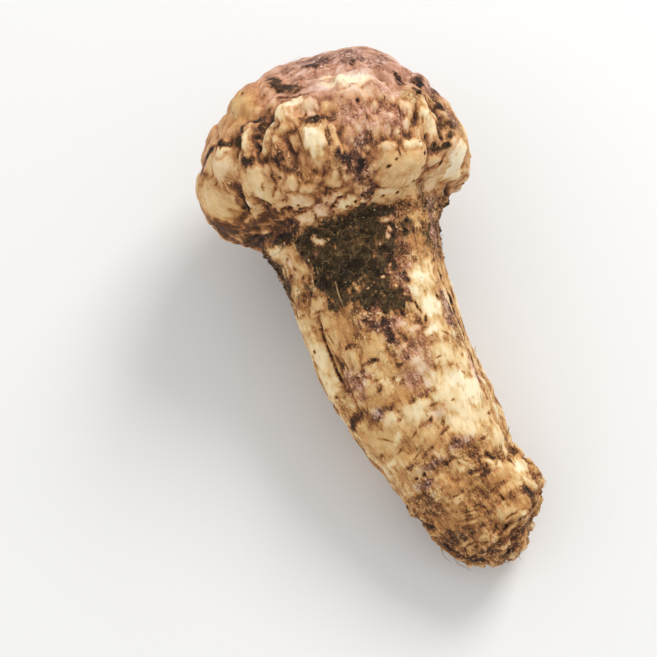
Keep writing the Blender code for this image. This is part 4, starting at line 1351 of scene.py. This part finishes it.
@dataclass
class Clinging:
    """All that clings to the skin: soil, sand, threads and rootlets.

    The webs are rows of height, angle, and their reach in millimetres along the stem and in degrees round it.
    """

    earth: EarthFinish = EarthFinish()
    fibre: FibreFinish = FibreFinish()
    hair: Strand = Strand(
        ((98.6, 46, 0.1), (98.7, 42.5, 0.6), (98, 39.4, 0.9), (96.8, 37.4, 1), (95.6, 37, 0.9), (94.8, 38.2, 0.8),
         (94.3, 40.2, 0.3)),
        0.42, 1.1,
    )
    inner_hair: Strand = Strand(((98, 42, 0.5), (97.2, 39.6, 0.9), (96.2, 38.8, 1), (95.4, 39.8, 0.6)), 0.3, 1.1)
    rootlets: tuple[Strand, ...] = (
        Strand(((28, 52, 0), (28.4, 53.5, 0.8), (29.4, 53.5, 1.7), (30.6, 52.5, 2.2)), 0.36, 0.7),
        Strand(((5.6, 42, 0.1), (4.4, 46, 1), (3.6, 52, 1.3), (4.8, 56, 1), (6, 52, 0.9)), 0.26, 0.35),
        Strand(((14, -84, 0.1), (12.4, -90, 1), (11, -96, 2.2), (9, -99, 3)), 0.16, 0.6),
        Strand(((10, -86, 0.1), (8, -90, 1.2), (7, -96, 1.8), (4.8, -98, 2.6)), 0.18, 0.3),
        Strand(((17, -84, 0.1), (16.6, -90, 0.9), (15, -95, 1.4)), 0.14, 0.5),
        Strand(((8.4, 28, 0.1), (7, 31, 0.7), (5.4, 31, 0.8), (4.6, 28, 0.3)), 0.2, 0.25),
        Strand(((7, -30, 0.1), (5.4, -34, 0.9), (3.6, -36, 1)), 0.18, 0.3),
        Strand(((12, 44, 0.1), (11, 50, 0.9), (9.4, 54, 1.4), (8.4, 52, 1.5)), 0.16, 0.8),
    )
    needle: Strand = Strand(
        ((80.4, -34.6, 0.3), (78.4, -35.3, 0.6), (76.4, -36.2, 0.6), (74.4, -37, 0.2)),
        0.42, 0.85,
    )
    webs: Rows = ((88, -13, 2.4, 8), (78, -38, 3, 6), (76, -4, 3, 6), (84, -28, 1.6, 3))

    def build(self, surface: Surface) -> list[bpy.types.Object]:
        """Makes every piece that clings to that skin."""
        paint, skin = surface.paint, surface.skin
        soil = smoothstep(0.4, 0.8, paint.soil)
        root = smoothstep(24.0, 12.0, skin.height)
        dark = smoothstep(0.5, 0.2, paint.tone) * (1.0 - soil)
        neck = smoothstep(74.0, 80.0, skin.height) * smoothstep(96.0, 92.0, skin.height)
        pieces = [
            Crumbs("soil_crumbs", 900, 0.25, 1.4, (0.2, 0.7), sunk=0.42, seed=3).build(surface, soil, self.earth),
            Crumbs("soil_dust", 1700, 0.16, 0.5, (0.2, 0.75), seed=4).build(
                surface, 0.3 * soil + 0.25 * neck + dark + 0.35 * root + 0.02, self.earth),
            Crumbs("sand_grains", 420, 0.18, 0.5, (0.8, 1.1), seed=5).build(
                surface, soil + 0.5 * dark + 0.3 * paint.pink * skin.cap + 0.15 * root, self.earth),
        ]
        threads = Threads("fine_threads", [self.hair, self.inner_hair, self.needle, *self.rootlets], seed=6)
        threads.scatter(surface, soil + 0.3 * neck, 80, 3.4, 0.7, 0.11, (0.2, 0.85))
        threads.scatter(surface, root + 0.05, 60, 4.0, 1.6, 0.14, (0.1, 0.8))
        threads.scatter(surface, self.web(skin), 26, 3.2, 0.4, 0.08, (0.4, 0.9))
        pieces.append(threads.build(surface, self.fibre))
        return pieces

    def web(self, skin: Skin) -> np.ndarray:
        """Where pale threads grow through the soil, from 0 to 1."""
        share = np.zeros(len(skin.height))
        for height, angle, tall, wide in self.webs:
            share += np.exp(-((skin.height - height) / tall) ** 2 - ((skin.angle - angle) / wide) ** 2)
        return share


@dataclass(frozen=True)
class Lamp:
    """A square area light: where it hangs and its side in metres, its power in watts and its colour."""

    name: str
    place: tuple[float, float, float]
    side: float
    power: float
    colour: Colour


@dataclass
class Studio:
    """A pale floor, soft lights and the camera that looks down on the mushroom."""

    lens: float = 85.0
    sensor_width: float = 36.0
    clip_start: float = 0.01
    distance: float = 0.395
    azimuth: float = -22.0
    elevation: float = 69.0
    target: tuple[float, float, float] = (-0.0176, -0.0003, 0.030)
    floor_size: float = 6.0
    floor_colour: Colour = (0.85, 0.85, 0.845)
    world_light: float = 0.70
    lamps: tuple[Lamp, ...] = (
        Lamp("key", (0.62, 0.42, 0.75), 0.45, 6.2, (1.0, 0.985, 0.955)),
        Lamp("fill", (-0.75, -0.15, 0.70), 0.9, 1.2, (0.97, 0.985, 1.0)),
    )
    lamps_look_at: tuple[float, float, float] = (0.0, 0.0, 0.03)

    def build(self) -> None:
        """Sets up the floor, the lights and the camera."""
        self.add_floor()
        self.add_world()
        for lamp in self.lamps:
            self.add_lamp(lamp)
        self.add_camera()
        bpy.context.scene.view_settings.view_transform = "Standard"

    def add_floor(self) -> None:
        """A plain pale floor at the height that the mushroom lies on."""
        form = bmesh.new()
        bmesh.ops.create_grid(form, x_segments=1, y_segments=1, size=self.floor_size / 2)
        mesh = mesh_of("studio_floor", form)
        floor = place_object("studio_floor", mesh)
        shader = Shader("pale_floor")
        numbers = {"Base Color": (*self.floor_colour, 1.0), "Roughness": 0.9, "Specular IOR Level": 0.1}
        mesh.materials.append(shader.finish(numbers, {}))

    def add_world(self) -> None:
        """Even white light from all round."""
        world = bpy.data.worlds.new("studio")
        world.use_nodes = True
        background = world.node_tree.nodes["Background"]
        background.inputs["Color"].default_value = (1.0, 1.0, 1.0, 1.0)
        background.inputs["Strength"].default_value = self.world_light
        bpy.context.scene.world = world

    def add_lamp(self, lamp: Lamp) -> None:
        """Hangs a lamp and turns it towards the mushroom."""
        light = bpy.data.lights.new(lamp.name, "AREA")
        light.shape = "SQUARE"
        light.size = lamp.side
        light.energy = lamp.power
        light.color = lamp.colour
        holder = place_object(lamp.name, light)
        holder.location = lamp.place
        aim = Vector(self.lamps_look_at) - Vector(lamp.place)
        holder.rotation_euler = aim.to_track_quat("-Z", "Y").to_euler()

    def add_camera(self) -> None:
        """The camera, looking down at its target."""
        azimuth, elevation = math.radians(self.azimuth), math.radians(self.elevation)
        flat = math.cos(elevation)
        back = Vector((math.sin(azimuth) * flat, -math.cos(azimuth) * flat, math.sin(elevation)))
        camera = place_object("camera", bpy.data.cameras.new("camera"))
        camera.data.lens = self.lens
        camera.data.sensor_width = self.sensor_width
        camera.data.clip_start = self.clip_start
        camera.location = Vector(self.target) + back * self.distance
        camera.rotation_euler = (-back).to_track_quat("-Z", "Y").to_euler()
        bpy.context.scene.camera = camera


def main() -> None:
    """Builds the mushroom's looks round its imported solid."""
    logging.basicConfig(level=logging.INFO, format="%(message)s")
    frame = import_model()
    noise.seed_set(NOISE_SEED)
    surface, pieces = Mushroom().build(frame["nodes"][NODE])
    pieces += Clinging().build(surface)
    for piece in pieces:
        LOG.info("%s: %d vertices, %d faces", piece.name, len(piece.data.vertices), len(piece.data.polygons))
    Studio().build()


if __name__ == "__main__":
    main()
